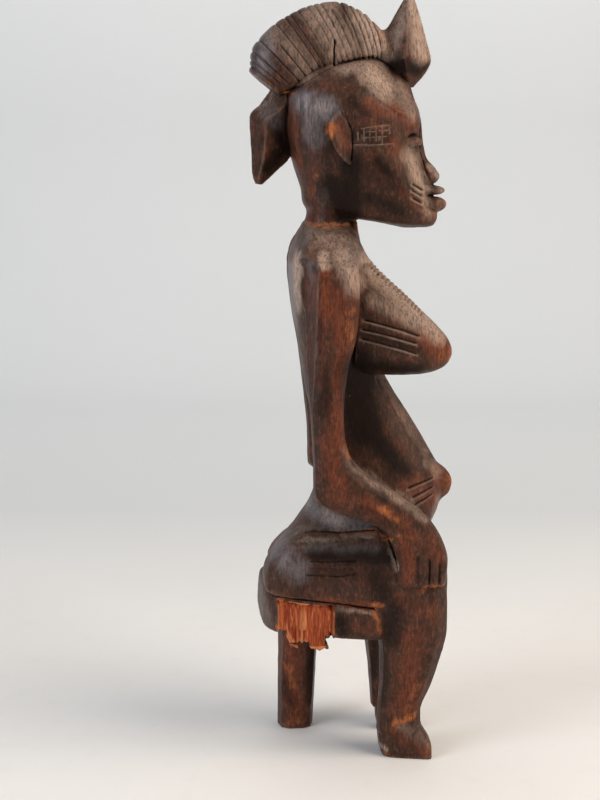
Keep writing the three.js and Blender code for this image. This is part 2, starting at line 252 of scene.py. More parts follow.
def loft(rows, wide=0.5, power=2.2, steps=8, sides=96, corners=None, round_at=None):
    """A closed skin over the ribs, as points, four-sided faces and the triangles of its two ends.

    `corners` makes the rings flat between the turns that it gives, and `round_at` says for each rib how far its
    ring is round all the same, from 0 to 1.
    """
    rows = smoothed(full(rows, power, wide), steps)
    y1, z1, y2, z2, half, x, square, widest = (rows[:, k, None] for k in range(8))
    turns, parts = turns_of(corners, sides)
    across = np.sign(np.cos(turns)) * np.abs(np.cos(turns)) ** (2 / square)
    along = np.sign(np.sin(turns)) * np.abs(np.sin(turns)) ** (2 / square)
    across, along = divided(across, parts), divided(along, parts)
    if round_at:
        every = np.linspace(0, 1, len(turns) * parts, endpoint=False) * len(turns)
        turns = np.interp(every, np.arange(len(turns) + 1), [*turns, turns[0] + 2 * np.pi])
        share = np.interp(np.linspace(0, 1, len(rows)), np.linspace(0, 1, len(round_at)), round_at)[:, None]
        across = across + share * (np.sign(np.cos(turns)) * np.abs(np.cos(turns)) ** (2 / square) - across)
        along = along + share * (np.sign(np.sin(turns)) * np.abs(np.sin(turns)) ** (2 / square) - along)
    share = np.where(along < 0, widest * (1 + along), widest + (1 - widest) * along)
    return skin(np.stack([x + half * across, y1 + (y2 - y1) * share, z1 + (z2 - z1) * share], axis=-1))


def divided(values, parts):
    """Ring values with straight steps added between each two."""
    after = np.roll(values, -1, axis=1)
    steps = np.arange(parts) / parts
    return (values[:, :, None] + (after - values)[:, :, None] * steps).reshape(len(values), -1)


def skin(ribs):
    count, sides = ribs.shape[:2]
    points = np.vstack([ribs.reshape(-1, 3), ribs[0].mean(0), ribs[-1].mean(0)])
    i, j = np.meshgrid(np.arange(count - 1), np.arange(sides), indexing="ij")
    k = (j + 1) % sides
    quads = np.stack([i * sides + j, i * sides + k, (i + 1) * sides + k, (i + 1) * sides + j], -1).reshape(-1, 4)
    j = np.arange(sides)
    k = (j + 1) % sides
    first = np.stack([np.full(sides, count * sides), k, j], -1)
    last = np.stack([np.full(sides, count * sides + 1), (count - 1) * sides + j, (count - 1) * sides + k], -1)
    return points, quads, np.vstack([first, last])


def smoothstep(value, low, high):
    t = np.clip((value - low) / (high - low), 0, 1)
    return t * t * (3 - 2 * t)


# The field
# The figure is a field of distances to its surface on a grid, negative inside.
LOW = np.array([-57.0, -64.0, -3.0])
SHAPE = (229, 249, 821)
AXES = [LOW[k] + VOXEL * np.arange(SHAPE[k]) for k in range(3)]


# Outside its box a facet turns away from the surface, more and more, so that it ends without a step.
FADE = 8
FADE_SLOPE = 0.45
FADE_END = 5.0


def empty():
    return np.full(SHAPE, BAND, np.float32)


def block_of(low, high):
    """The part of the grid between two corners in millimetres."""
    a = [max(0, int(math.floor((low[k] - LOW[k]) / VOXEL))) for k in range(3)]
    b = [min(SHAPE[k], int(math.ceil((high[k] - LOW[k]) / VOXEL)) + 1) for k in range(3)]
    return tuple(slice(a[k], max(a[k], b[k])) for k in range(3))


def places(block):
    return (
        AXES[0][block[0]][:, None, None],
        AXES[1][block[1]][None, :, None],
        AXES[2][block[2]][None, None, :],
    )


def smooth_min(a, b, blend):
    h = np.maximum(blend - np.abs(a - b), 0) / blend
    return np.minimum(a, b) - h * h * (blend / 4)


def distances(shape):
    """A skin's field, on the block of the grid that holds it."""
    points, quads, triangles = shape
    block = block_of(points.min(0) - BAND, points.max(0) + BAND)
    placed = ((points - LOW) / VOXEL).astype(np.float32)
    grid = vdb.FloatGrid.createLevelSetFromPolygons(
        placed,
        triangles=triangles.astype(np.uint32),
        quads=quads.astype(np.uint32),
        transform=vdb.createLinearTransform(1.0),
        halfWidth=BAND / VOXEL,
    )
    values = np.empty([s.stop - s.start for s in block], np.float32)
    grid.copyToArray(values, ijk=tuple(s.start for s in block))
    return block, values * VOXEL


def join(field, shape, blend=0.6):
    """Adds a form. `blend` is how far its joint is filled, as a number or as a function of z."""
    block, values = distances(shape)
    if callable(blend):
        blend = blend(AXES[2][block[2]])[None, None, :].astype(np.float32)
    field[block] = smooth_min(field[block], values, blend)


def cut(field, shape, blend=0.6):
    block, values = distances(shape)
    field[block] = -smooth_min(-field[block], values, blend)


def merge(field, other, blend):
    """Adds another field. `blend` is how far the joint is filled, as a function of z."""
    for k in range(0, SHAPE[2], 100):
        part = (slice(None), slice(None), slice(k, k + 100))
        soft = blend(AXES[2][part[2]])[None, None, :].astype(np.float32)
        field[part] = smooth_min(field[part], other[part], soft)


def shave(field, facet):
    """Takes off what stands beyond a plane, inside a box, on the right side and mirrored on the left."""
    point, normal, low, high, blend = facet
    normal = np.array(normal, float) / np.linalg.norm(normal)
    for side in (RIGHT, LEFT):
        flip = np.array([-side, 1, 1])
        a, b = np.array(low, float) * flip, np.array(high, float) * flip
        a, b = np.minimum(a, b), np.maximum(a, b)
        block = block_of(a - FADE, b + FADE)
        x, y, z = places(block)
        p, n = np.array(point) * flip, normal * flip
        beyond = (x - p[0]) * n[0] + (y - p[1]) * n[1] + (z - p[2]) * n[2]
        outside = [np.maximum(np.maximum(a[k] - v, v - b[k]), 0) for k, v in enumerate((x, y, z))]
        outside = np.sqrt(outside[0] ** 2 + outside[1] ** 2 + outside[2] ** 2)
        beyond = beyond - FADE_SLOPE * outside - FADE_END * (outside / FADE) ** 3
        field[block] = -smooth_min(-field[block], -beyond.astype(np.float32), blend)


def to_line(path, y, z):
    """The distance in the side view from each place to a line through the path's points."""
    return line_and_end(path, y, z)[0]


def line_and_end(path, y, z):
    """The distance from each place to the line, and from the nearest place on the line to the line's nearer end."""
    best = np.full(np.broadcast(y, z).shape, 1e3, np.float32)
    run = np.zeros(best.shape, np.float32)
    total = 0.0
    for (ay, az), (by, bz) in zip(path, path[1:]):
        dy, dz = by - ay, bz - az
        length = math.hypot(dy, dz)
        share = np.clip(((y - ay) * dy + (z - az) * dz) / (length * length + 1e-9), 0, 1)
        away = np.hypot(y - ay - share * dy, z - az - share * dz)
        run = np.where(away < best, total + share * length, run)
        best = np.minimum(best, away)
        total += length
    return best, np.minimum(run, total - run)


def engrave(field, cut_line):
    """Sinks a V along a line of the side view, into whatever lies between two distances from the middle plane."""
    path, width, depth, near, far, burr, both, taper = cut_line
    ys, zs = [p[0] for p in path], [p[1] for p in path]
    pad = width * 2 + 1
    for side in (RIGHT, LEFT) if both else (RIGHT,):
        xs = sorted((side * near, side * far))
        block = block_of((xs[0], min(ys) - pad, min(zs) - pad), (xs[1], max(ys) + pad, max(zs) + pad))
        _, y, z = places(block)
        away, end = line_and_end(path, y[0], z[0])
        away = away / width
        sunk = depth * np.clip(1 - away, 0, 1) - burr * np.exp(-((away - 1.15) ** 2) / 0.08)
        if taper:
            sunk = sunk * smoothstep(end, -0.2, taper)
        field[block] += sunk[None].astype(np.float32)


def step_down(field, path, depth, soft, reach, near, far):
    """Lowers the surface on the right of a line of the side view, most beside the line and less further off."""
    ys, zs = [p[0] for p in path], [p[1] for p in path]
    for side in (RIGHT, LEFT):
        xs = sorted((side * near, side * far))
        low, high = (xs[0], min(ys) - reach, min(zs) - reach), (xs[1], max(ys) + reach, max(zs) + reach)
        block = block_of(low, high)
        _, y, z = places(block)
        away, right = to_line(path, y[0], z[0]), to_the_right(path, y[0], z[0])
        sunk = depth * np.clip(right / soft, 0, 1) * np.clip(1 - away / reach, 0, 1)
        field[block] += sunk[None].astype(np.float32)


def to_the_right(path, y, z):
    """How far each place is to the right of the line through the path's nearest stretch, in the view from -X."""
    best = np.full(np.broadcast(y, z).shape, 1e3, np.float32)
    right = np.zeros(best.shape, np.float32)
    for (ay, az), (by, bz) in zip(path, path[1:]):
        dy, dz = by - ay, bz - az
        share = np.clip(((y - ay) * dy + (z - az) * dz) / (dy * dy + dz * dz + 1e-9), 0, 1)
        away = np.hypot(y - ay - share * dy, z - az - share * dz)
        turn = dy * (z - az) - dz * (y - ay)
        right = np.where(away < best, turn / math.hypot(dy, dz), right)
        best = np.minimum(best, away)
    return right


def ball(center, size):
    turn, rise = np.meshgrid(np.linspace(0, 2 * np.pi, 48, endpoint=False), np.linspace(-1.5, 1.5, 25))
    ribs = np.stack([np.cos(rise) * np.cos(turn), np.cos(rise) * np.sin(turn), np.sin(rise)], -1)
    return skin(ribs * np.array(size) + np.array(center))


def prism(outline, thickness, place):
    """A flat leaf, drawn in the side view, as thick as stated, moved by the function `place`."""
    outline = np.array(outline, float)
    ribs = [np.column_stack([np.full(len(outline), x), outline]) for x in (-thickness / 2, thickness / 2)]
    return skin(place(np.array(ribs)))


def curve(points, share):
    """A place on a smooth line through the points."""
    rows = smoothed(points, 24)
    t = share * (len(rows) - 1)
    i = min(int(t), len(rows) - 2)
    return rows[i] + (rows[i + 1] - rows[i]) * (t - i)


# Limbs, as the CAD source sets them
def mirrored(rows, side):
    return [[*row[:5], side * row[5], *row[6:]] for row in rows]


def arm_rows(side):
    rows = []
    for (y1, z1, y2, z2, half, x), pull in zip(ARM, ELBOW_PULL):
        pull = pull if side == LEFT else 0
        forward, up = 4.4 * pull, 2.6 * pull
        rows.append([y1 - forward, z1 + up, y2 - forward, z2 + up, half, side * x])
    return rows


def leg_rows(side):
    left = 1 if side == LEFT else 0
    thigh, shin, foot = [], [], []
    for y1, z1, y2, z2, half in THIGH:
        knee = left * 4.4 * min(max(-y1 / 40, 0), 1)
        hip = left * min(max(y1 / 36, 0), 1)
        shift = knee - hip * 5.6
        x = side * (20.5 - 0 * y1)
        thigh.append([y1 + shift, z1, y2 + shift, z2 + (z1 - z2) * hip * 0.2, half, x])
    for y1, z1, y2, z2, half in SHIN:
        up = min(max(z1 / 75, 0), 1)
        heel = left * (-3.8 + 9.6 * up)
        shin.append([y1 + left * 4.4 * up, z1, y2 + heel, z2, half, side * (19.5 + 2.5 * up)])
    for y1, z1, y2, z2, half in FOOT:
        heel = left * -4 * (y1 + 42) / 28
        foot.append([y1 + heel, z1, y2 + heel, z2, half, side * (17.9 - 0.12 * y1)])
    return thigh, shin, foot


def crest_shape():
    ribs = []
    count = 120
    turn = np.linspace(0, 2 * np.pi, 96, endpoint=False)
    across = np.sign(np.cos(turn)) * np.abs(np.cos(turn)) ** (2 / 2.7)
    along = np.sign(np.sin(turn)) * np.abs(np.sin(turn)) ** (2 / 2.3)
    share = np.where(along < 0, 0.3 * (1 + along), 0.3 + 0.7 * along)
    for i in range(count + 1):
        foot, edge = curve(CREST_FOOT, i / count), curve(CREST_EDGE, i / count)
        half = 13 - 3 * i / count + 3 * math.sin(math.pi * i / count)
        line = foot + (edge - foot) * share[:, None]
        ribs.append(np.column_stack([half * across, line]))
    return skin(np.array(ribs))


# Carving
# A cut is a knife line of the side view: its path in y and z, half width, depth, the nearest and the furthest
# distance from the middle plane that it reaches, how far its edges are raised, whether both sides have it, and
# over what length it runs out at its ends.
Cut = namedtuple("Cut", "path width depth near far burr both taper", defaults=(0.0, True, 1.6))
# A facet is a flat cut on the right side, mirrored on the left: a point in it, the way it faces, the corners of
# the box that it stays in, and how far its edge is rounded.
Facet = namedtuple("Facet", "point normal low high blend", defaults=(0.5,))

HEAD_FACETS = [
    Facet((-19.5, -21.5, 321.5), (-0.709, -0.685, 0.166), (-30, -44, 292), (-4, -20, 320), 1.2),
    Facet((-16.2, -8.4, 359.3), (-0.717, -0.502, 0.482), (-24, -33, 343), (-4, -6, 366), 1.2),
    Facet((-22.2, -8, 308), (-0.985, -0.05, -0.15), (-30, -22, 294), (-15, 8, 318), 1.0),
    Facet((-21.3, 19.7, 335), (-0.937, 0.348, 0.03), (-30, 14, 318), (-12, 26, 350), 0.6),
    Facet((-16.4, 27.4, 335), (-0.675, 0.738, 0.0), (-24, 25, 312), (-6, 34, 350), 0.6),
]
HAIR_FACETS = [
    Facet((-7.2, -33.5, 384), (-0.80, -0.58, 0.14), (-20, -46, 375), (-3, -20, 400), 0.3),
    Facet((-13.2, -26, 369), (-0.765, -0.510, -0.392), (-22, -48, 348), (0, -26, 368), 0.2),
    Facet((-13.2, -26, 369), (-0.723, 0.054, -0.689), (-22, -26, 348), (0, -14, 369), 0.2),
]
BELLY_FACET = Facet((-3, -33, 182), (-0.531, -0.729, 0.432), (-24, -46, 163), (-2, -14, 202))
BODY_FACETS = [
    Facet((-31.5, -20, 243.6), (-0.571, -0.396, 0.719), (-36, -38, 228), (-16, -6, 258), 0.8),
    Facet((-37.6, 12, 271.4), (-0.66, -0.10, 0.74), (-44, 4, 264), (-28, 22, 276), 0.8),
    Facet((-29, 29.4, 232), (-0.55, 0.83, 0.08), (-44, 26, 190), (-20, 36, 262), 0.8),
]
LEG_FACETS = [
    Facet((-36.7, 4, 121.4), (-0.62, 0.10, 0.78), (-42, -10, 112), (-24, 28, 130), 0.8),
]
SEAT_FACETS = [
    Facet((-37.3, 0, 84.4), (-0.70, 0.0, 0.71), (-41, -9, 78), (-33, 12, 90), 0.3),
]

TEMPLE = [
    Cut([(-2, 332.3), (-9, 333.5), (-17.3, 334.4)], 0.45, 0.4, 12, 40),
    Cut([(-3.4, 330.6), (-17.8, 331.8)], 0.4, 0.3, 12, 40),
    Cut([(-3.6, 327.8), (-17.8, 328.8)], 0.4, 0.3, 12, 40),
    Cut([(2.4, 324.5), (-9, 324.4), (-19.8, 325)], 0.5, 0.5, 12, 40),
    Cut([(-1.2, 331), (-1.5, 325.8)], 0.45, 0.35, 12, 40),
    Cut([(-4.4, 332.5), (-4.5, 325)], 0.4, 0.3, 12, 40),
    Cut([(-7.4, 333), (-7.6, 325)], 0.4, 0.3, 12, 40),
    Cut([(-10.6, 333.6), (-10.6, 325)], 0.4, 0.35, 12, 40),
    Cut([(-14, 334), (-14, 325)], 0.4, 0.3, 12, 40),
    Cut([(-17.4, 334.4), (-17.9, 330)], 0.45, 0.3, 12, 40),
]
CHEEK = [
    Cut([(-29.9, 304.4), (-33.2, 302.7), (-37.3, 300.4)], 1.1, 1.0, 5, 30, 0.35),
    Cut([(-29.6, 301.2), (-33.2, 299.4), (-37.3, 297.2)], 1.0, 0.9, 5, 30, 0.35),
    Cut([(-29.9, 297.4), (-33.2, 295.6), (-37.1, 294)], 1.1, 1.0, 5, 30, 0.35),
]
EYE = [
    Cut([(-27.4, 325.6), (-31, 326.4), (-35.6, 325.8)], 0.45, 0.5, 4, 22),
    Cut([(-34.8, 336), (-35.6, 329), (-36.4, 321)], 0.6, 0.6, 2, 10),
    Cut([(-25.4, 325.8), (-28.6, 328.6), (-33, 329.2), (-36.2, 327.6)], 0.5, 0.55, 4, 24),
    Cut([(-26, 325), (-30, 322.8), (-35, 323.2)], 0.45, 0.4, 4, 24),
]
MOUTH = Cut([(-39.4, 298), (-45, 297.6), (-54, 297.4)], 0.7, 1.0, 0, 10)
BREAST_LINES = [
    Cut([(-3.2, 236.3), (-13.6, 233.6), (-22.9, 230.8), (-33.2, 227)], 1.0, 1.05, 18, 40, 0.15),
    Cut([(-2.2, 231.3), (-12, 229.2), (-22.9, 226.2), (-31.6, 223.4)], 0.95, 0.95, 18, 40, 0.15),
    Cut([(-1.8, 226.6), (-12, 224), (-23, 221), (-31.6, 218)], 0.95, 0.95, 18, 40, 0.15),
]
NAVEL_LINES = [
    Cut([(-28.1, 145.6), (-35.5, 147.6), (-44.6, 149.6)], 0.95, 1.2, 3, 27, 0.25),
    Cut([(-30.8, 140.6), (-37, 142.8), (-44, 145)], 0.95, 1.2, 3, 27, 0.25),
    Cut([(-31.4, 136.8), (-36.9, 138.8), (-43.6, 141.2)], 0.95, 1.2, 3, 27, 0.25),
]
THIGH_LINES = [
    Cut([(25.3, 111.8), (12, 111.2), (-0.7, 111.6)], 1.2, 0.7, 30, 50, 0.2),
    Cut([(24.7, 108.1), (0.8, 107.4)], 1.1, 0.5, 30, 50, 0.2),
    Cut([(27.5, 104.8), (8.3, 103.3), (-0.7, 104.9)], 1.25, 0.75, 30, 50, 0.2),
]
FINGERS = [
    Cut([(-31.2, 117), (-31.4, 96)], 2.4, 1.2, 34, 60, 0.0, True, 4.0),
    Cut([(-37.4, 116), (-37.6, 95.6)], 1.7, 1.0, 34, 60, 0.0, True, 4.0),
    Cut([(-42.8, 114), (-42.6, 95.6)], 1.5, 0.9, 34, 60, 0.0, True, 4.0),
    Cut([(-37.8, 113), (-37.7, 96)], 0.9, 0.5, 34, 60, 0.0, True, 3.0),
    Cut([(-43.2, 111), (-43, 96.6)], 0.85, 0.45, 34, 60, 0.0, True, 3.0),
]
CREASES = [
    Cut([(-16.9, 122.4), (-20.4, 112.7), (-22.4, 104.4)], 0.9, 1.1, 34, 41),
    Cut([(31.6, 122.8), (27.9, 124.4), (18.5, 125.2), (10, 124.9), (0.2, 125.6), (-11.7, 126.2)], 0.75, 1.0, 28, 48),
    Cut([(-7.6, 98.3), (-9, 85.1)], 0.6, 0.7, 30, 50),
    Cut([(-8.4, 86.9), (-12.4, 79.7), (-13.6, 72.6)], 0.8, 0.45, 20, 50),
    Cut([(45, 92.8), (28.2, 91), (16.8, 89.4), (4.9, 87.6), (-10.7, 84.8)], 0.9, 1.4, 26, 50),
    Cut([(56, 93.6), (44.6, 93)], 1.3, 1.7, -1, 50, 0.0, True, 0),
    Cut([(37, 350.5), (28, 353), (18, 359), (8, 364.2), (-2, 367.2), (-12, 369)], 0.8, 0.8, 4, 24),
    Cut([(27.4, 349), (26.6, 338), (28.6, 322)], 0.7, 0.6, 2, 16),
    Cut([(-36.4, 320.6), (-38.2, 314), (-39.6, 308.6), (-41, 305)], 0.7, 0.9, 3, 14),
]
CRACKS = [
    Cut([(9.9, 398), (10.4, 386.4), (9.4, 377)], 0.4, 0.5, 0, 20, 0.0, False),
    Cut([(9.4, 377), (9.9, 370), (9.7, 363)], 0.6, 2.6, 4, 20, 0.0, False),
    Cut([(10.7, 362.1), (10.8, 353.5), (8.5, 347.8), (6.8, 344.9)], 0.4, 0.35, 8, 40, 0.12, False),
    Cut([(6.8, 344.9), (5, 338.6), (2.6, 332.4)], 0.5, 0.6, 8, 40, 0.2, False),
    Cut([(3.4, 335.6), (1.6, 330), (1.4, 322), (2.4, 315)], 0.8, 0.9, 14, 40, 0.0, False),
    Cut([(2.4, 315), (3, 308), (4.6, 301.4), (4.8, 295)], 0.5, 0.5, 12, 40, 0.0, False),
]
# The line where the skull's crown steps down to the temple.
BROW = [(5.4, 352.2), (0, 353.4), (-5.4, 352.8), (-10.4, 348), (-15.6, 344.6), (-20.8, 341.5)]
# The notched band runs down the top of each breast, and a band of dots round the root of the neck.
NOTCHES = 15
BAND_LINE = [[-3, 272], [-12, 262], [-24.5, 250.4], [-36, 239.4]]
DOTS = 320
DOT_MIDDLE = (12, 274.5)
DOT_REACH = (11, 9.5)


def flutes(rng):
    """The crest's flutes: deep and wide apart at the back, faint in the middle, close and deep in front."""
    cuts = []
    share = 0.05
    while share < 0.965:
        back, front = share < 0.3, share > 0.72
        strong = 1.0 if back or front else 0.75
        depth = strong * (0.6 + 0.35 * rng.random())
        foot = curve(CREST_FOOT, share)
        lean = 0.055 * min(max((share - 0.25) / 0.5, 0), 1) + 0.012 * (rng.random() - 0.5)
        edge = curve(CREST_EDGE, min(max(share - lean, 0), 1))
        start = 0.38 - 1.6 * share if share < 0.16 else -0.03
        stop = 1.1 if front or rng.random() < 0.75 else 0.7 + 0.2 * rng.random()
        bend = np.array([-0.8, 0.3]) if share > 0.5 else np.array([-0.2, -0.3])
        a, b = foot + (edge - foot) * start, foot + (edge - foot) * stop
        path = [tuple(a), tuple((a + b) / 2 + bend + (rng.random(2) - 0.5) * 0.3), tuple(b)]
        width = 0.55 + 0.25 * rng.random()
        cuts.append(Cut(path, width, depth, -20, 20, 0.1))
        cuts.append(Cut(path, 1.7 * width + 0.7, 0.35 * strong, -20, 20))
        share += (0.056 if back else 0.047 if front else 0.046) * (0.75 + 0.5 * rng.random())
    return cuts


def head_field():
    field = empty()
    join(field, loft(HEAD, wide=0.62, power=2.45), 0.1)
    join(field, loft(NECK), lambda z: 3.2 - 1.4 * smoothstep(z, 286, 298))
    for facet in HEAD_FACETS:
        shave(field, facet)
    step_down(field, BROW, 0.9, 0.9, 15, 10, 30)
    for side in (RIGHT, LEFT):
        cut(field, ball((side * 15.4, -36.0, 327.2), (8.2, 7.8, 4.6)), 1.6)
        join(field, ball((side * 10.2, -30.6, 325.4), (6.2, 5.4, 2.8)), 1.0)
        join(field, ear(side), 0.3)
    join(field, loft(NOSE, power=2), 1.2)
    for side in (RIGHT, LEFT):
        join(field, ball((side * 5.2, -40.6, 306.4), (2.6, 3.6, 3.0)), 0.8)
        cut(field, ball((side * 2.8, -43.4, 303), (1.3, 1.8, 1.2)), 0.4)
    join(field, ball((0, -42.2, 300.4), (8.4, 7.8, 2.7)), 0.9)
    join(field, ball((0, -38.6, 300.8), (9.2, 6.4, 3.7)), 1.2)
    join(field, ball((0, -42.8, 293.2), (8.8, 8.2, 4.4)), 0.9)
    return field


def ear(side):
    t = np.linspace(0, 1, 13)[:, None]

    def bent(a, b, c):
        return (1 - t) ** 2 * np.array(a) + 2 * t * (1 - t) * np.array(b) + t**2 * np.array(c)

    edge = [bent((9, 341), (16.8, 336.4), (13.2, 327))[:-1], bent((13.2, 327), (10.4, 319), (2.8, 313.4))[:-1]]
    edge.append(bent((2.8, 313.4), (0.6, 329), (9, 341))[:-1])

    def place(ribs):
        x, y, z = ribs[..., 0], ribs[..., 1] - 5, ribs[..., 2]
        turn = -side * 0.2
        moved_x = x * math.cos(turn) - y * math.sin(turn) + side * 21.4
        moved_y = x * math.sin(turn) + y * math.cos(turn) + 5
        return np.stack([moved_x, moved_y, z], -1)

    return prism(np.vstack(edge), 7, place)


def hair_field(rng):
    field = empty()
    join(field, crest_shape(), 0.1)
    for flute in flutes(rng):
        engrave(field, flute._replace(both=False))
    join(field, loft(HORN, corners=[0, 90]), 4.0)
    join(field, loft(BUN, wide=[0.5, 0.7, 0.7, 0.7, 0.4, 0.35], corners=[0, 90]), 0.8)
    for facet in HAIR_FACETS:
        shave(field, facet)
    return field


def body_field():
    field = empty()
    join(field, loft(TORSO, wide=0.62, power=2.4), 0.1)
    join(field, loft(NAVEL, power=2), 2.2)
    shave(field, BELLY_FACET)
    for side in (RIGHT, LEFT):
        join(field, loft(mirrored(BREAST, side), wide=0.4), lambda z: 1.2 + 3.0 * smoothstep(z, 245, 262))
        arm = loft(arm_rows(side), power=2.9, corners=[0, 24, 62, 90], round_at=ARM_ROUND)
        join(field, arm, lambda z: 1.6 + 6.0 * smoothstep(z, 205, 262))
    for facet in BODY_FACETS:
        shave(field, facet)
    return field


def leg_field():
    field = empty()
    for side in (RIGHT, LEFT):
        thigh, shin, foot = leg_rows(side)
        join(field, loft(thigh, wide=0.38, power=3.6), 0.1)
        join(field, loft(shin, power=3, corners=[0, 26, 62, 90]), 3.0)
        join(field, loft(foot, power=3.2, corners=[0, 22, 58, 90]), 1.2)
    for facet in LEG_FACETS:
        shave(field, facet)
    return field


def seat_field():
    field = empty()
    join(field, loft(SEAT, power=5.2), 0.1)
    for facet in SEAT_FACETS:
        shave(field, facet)
    join(field, loft(REAR_LEG, power=2.6, steps=4, corners=[16, 50, 90]), 1.2)
    return field


def noise(rng, count=64):
    """A smooth noise in three dimensions, between 0 and 1, that repeats every `count` cells."""
    table = rng.random((count, count, count)).astype(np.float32)

    def at(points, cell):
        p = np.asarray(points, np.float32) / np.asarray(cell, np.float32)
        i = np.floor(p).astype(int)
        f = p - i
        f = f * f * (3 - 2 * f)
        total = 0
        for corner in range(8):
            d = [(corner >> k) & 1 for k in range(3)]
            weight = 1
            for k in range(3):
                weight = weight * (f[..., k] if d[k] else 1 - f[..., k])
            total = total + weight * table[tuple((i[..., k] + d[k]) % count for k in range(3))]
        return total

    return at


def knife_marks(points, rng, cell):
    """How deep each place lies in the hollow of the nearest knife stroke, from 0 at its edge to 1."""
    cell = np.array(cell)
    jitter = rng.random((32, 32, 32, 3))
    p = points / cell
    base = np.floor(p).astype(int)
    first = np.full(len(points), 9.0)
    second = np.full(len(points), 9.0)
    for corner in range(27):
        near = base + np.array([corner % 3 - 1, corner // 3 % 3 - 1, corner // 9 - 1])
        middle = near + jitter[near[:, 0] % 32, near[:, 1] % 32, near[:, 2] % 32]
        away = ((p - middle) ** 2).sum(1)
        second = np.minimum(np.maximum(away, first), second)
        first = np.minimum(away, first)
    return np.clip((second - first) * 1.2, 0, 1)


# The lower end of the stub, as places along the seat and their heights, and the height of the seat's underside.
STUB_END = [(13, 64.6), (19, 63.9), (23.3, 64.4), (24.4, 66.6), (29, 66.8), (30.6, 65.2), (34, 65.6), (35.4, 68.4), (36, 73)]
SEAT_UNDER = 69.4


def tear(field, at):
    """The torn side of the seat: fibres that broke at different depths, and what hangs below of the leg's root."""
    stub = empty()
    block = block_of((-44, 10, 58), (-18, 42, 84))
    x, y, z = np.broadcast_arrays(*places(block))
    points = np.stack([x, y, z], -1)
    # Each bundle of fibres ends at its own height.
    bundle = at(points * [1, 1, 0.04], (2.6, 2.1, 8))
    fine = at(points * [1, 1, 0.06], (0.9, 0.8, 6))
    ends = np.interp(y, [place for place, _ in STUB_END], [height for _, height in STUB_END])
    ends = ends + 1.6 * (bundle - 0.5) + 0.9 * (fine - 0.5)
    half = np.where(z > SEAT_UNDER, 13.8, 10.6)
    sides = np.maximum(np.abs(x + 28.6) - 8.6, np.abs(y - 25) - half) + 0.8 * (fine - 0.5) + 1.0 * (bundle - 0.5)
    body = np.maximum(np.maximum(sides, ends - z), z - 80)
    stub[block] = np.clip(body, -BAND, BAND)
    merge_block = block_of((-50, 6, 56), (-14, 46, 86))
    field[merge_block] = smooth_min(field[merge_block], stub[merge_block], 0.4)
    # The hollow in the seat's side.
    block = block_of((-44, 8, 66), (-26, 44, 97))
    x, y, z = np.broadcast_arrays(*places(block))
    points = np.stack([x, y, z], -1)
    fine = at(points * [1, 1, 0.16], (0.9, 0.85, 4))
    coarse = at(points * [1, 1, 0.16], (3.4, 2.6, 6))
    top = 90.4 - 0.14 * (40 - y) + 1.8 * (coarse - 0.5)
    depth = 0.4 + 1.5 * coarse + 1.0 * fine
    inside = np.minimum(np.minimum(y - 11.6, 40.4 - y), top - z) + 0.9 * (fine - 0.5)
    hollow = depth * np.clip(inside / 0.7 + 0.4, 0, 1)
    field[block] += hollow.astype(np.float32)


def carve(field, rng):
    """The lines and dots that the knife cut."""
    for knife_cut in [*TEMPLE, *CHEEK, *EYE, MOUTH, *BREAST_LINES, *NAVEL_LINES, *THIGH_LINES, *FINGERS]:
        engrave(field, knife_cut)
    for knife_cut in [*CREASES, *CRACKS]:
        engrave(field, knife_cut)
    for i in range(NOTCHES):
        y, z = curve(BAND_LINE, 0.3 + 0.7 * i / (NOTCHES - 1))
        engrave(field, Cut([(y - 2.2, z + 2.2), (y + 2, z - 2)], 0.75, 0.8, 8, 27, taper=0))
    engrave(field, Cut([(y + 1.8, z - 4.2) for y, z in BAND_LINE[1:]], 0.7, 0.4, 8, 34))
    for _ in range(DOTS):
        turn, share = 2 * math.pi * rng.random(), math.sqrt(rng.random())
        y, z = DOT_MIDDLE[0] + DOT_REACH[0] * share * math.cos(turn), DOT_MIDDLE[1] + DOT_REACH[1] * share * math.sin(turn)
        engrave(field, Cut([(y, z), (y + 0.5, z - 0.6)], 0.8 + 0.5 * rng.random(), 0.17, 9, 44, 0.05, taper=0))


# From the field to a mesh
def extract(field):
    grid = vdb.FloatGrid()
    grid.copyFromArray(field)
    points, triangles, quads = grid.convertToPolygons(isovalue=0.0, adaptivity=0.0)
    return points * VOXEL + LOW, triangles, quads


def mesh_of(name, points, triangles, quads):
    mesh = bpy.data.meshes.new(name)
    mesh.vertices.add(len(points))
    mesh.vertices.foreach_set("co", points.astype(np.float32).ravel())
    corners = np.concatenate([triangles.ravel(), quads.ravel()]).astype(np.int32)
    mesh.loops.add(len(corners))
    mesh.loops.foreach_set("vertex_index", corners)
    mesh.polygons.add(len(triangles) + len(quads))
    starts = np.concatenate([3 * np.arange(len(triangles)), 3 * len(triangles) + 4 * np.arange(len(quads))])
    mesh.polygons.foreach_set("loop_start", starts.astype(np.int32))
    mesh.update(calc_edges=True)
    mesh.validate()
    return mesh


def corners_of(mesh):
    co = np.empty(len(mesh.vertices) * 3, np.float32)
    mesh.vertices.foreach_get("co", co)
    return co.reshape(-1, 3)


def normals_of(mesh):
    n = np.empty(len(mesh.vertices) * 3, np.float32)
    mesh.vertex_normals.foreach_get("vector", n)
    return n.reshape(-1, 3)


def sample(values, points, low, cell):
    p = np.clip((points - low) / cell, 0, np.array(values.shape) - 1.001)
    i = p.astype(int)
    f = p - i
    total = 0
    for corner in range(8):
        d = [(corner >> k) & 1 for k in range(3)]
        weight = 1
        for k in range(3):
            weight = weight * (f[:, k] if d[k] else 1 - f[:, k])
        total = total + weight * values[i[:, 0] + d[0], i[:, 1] + d[1], i[:, 2] + d[2]]
    return total


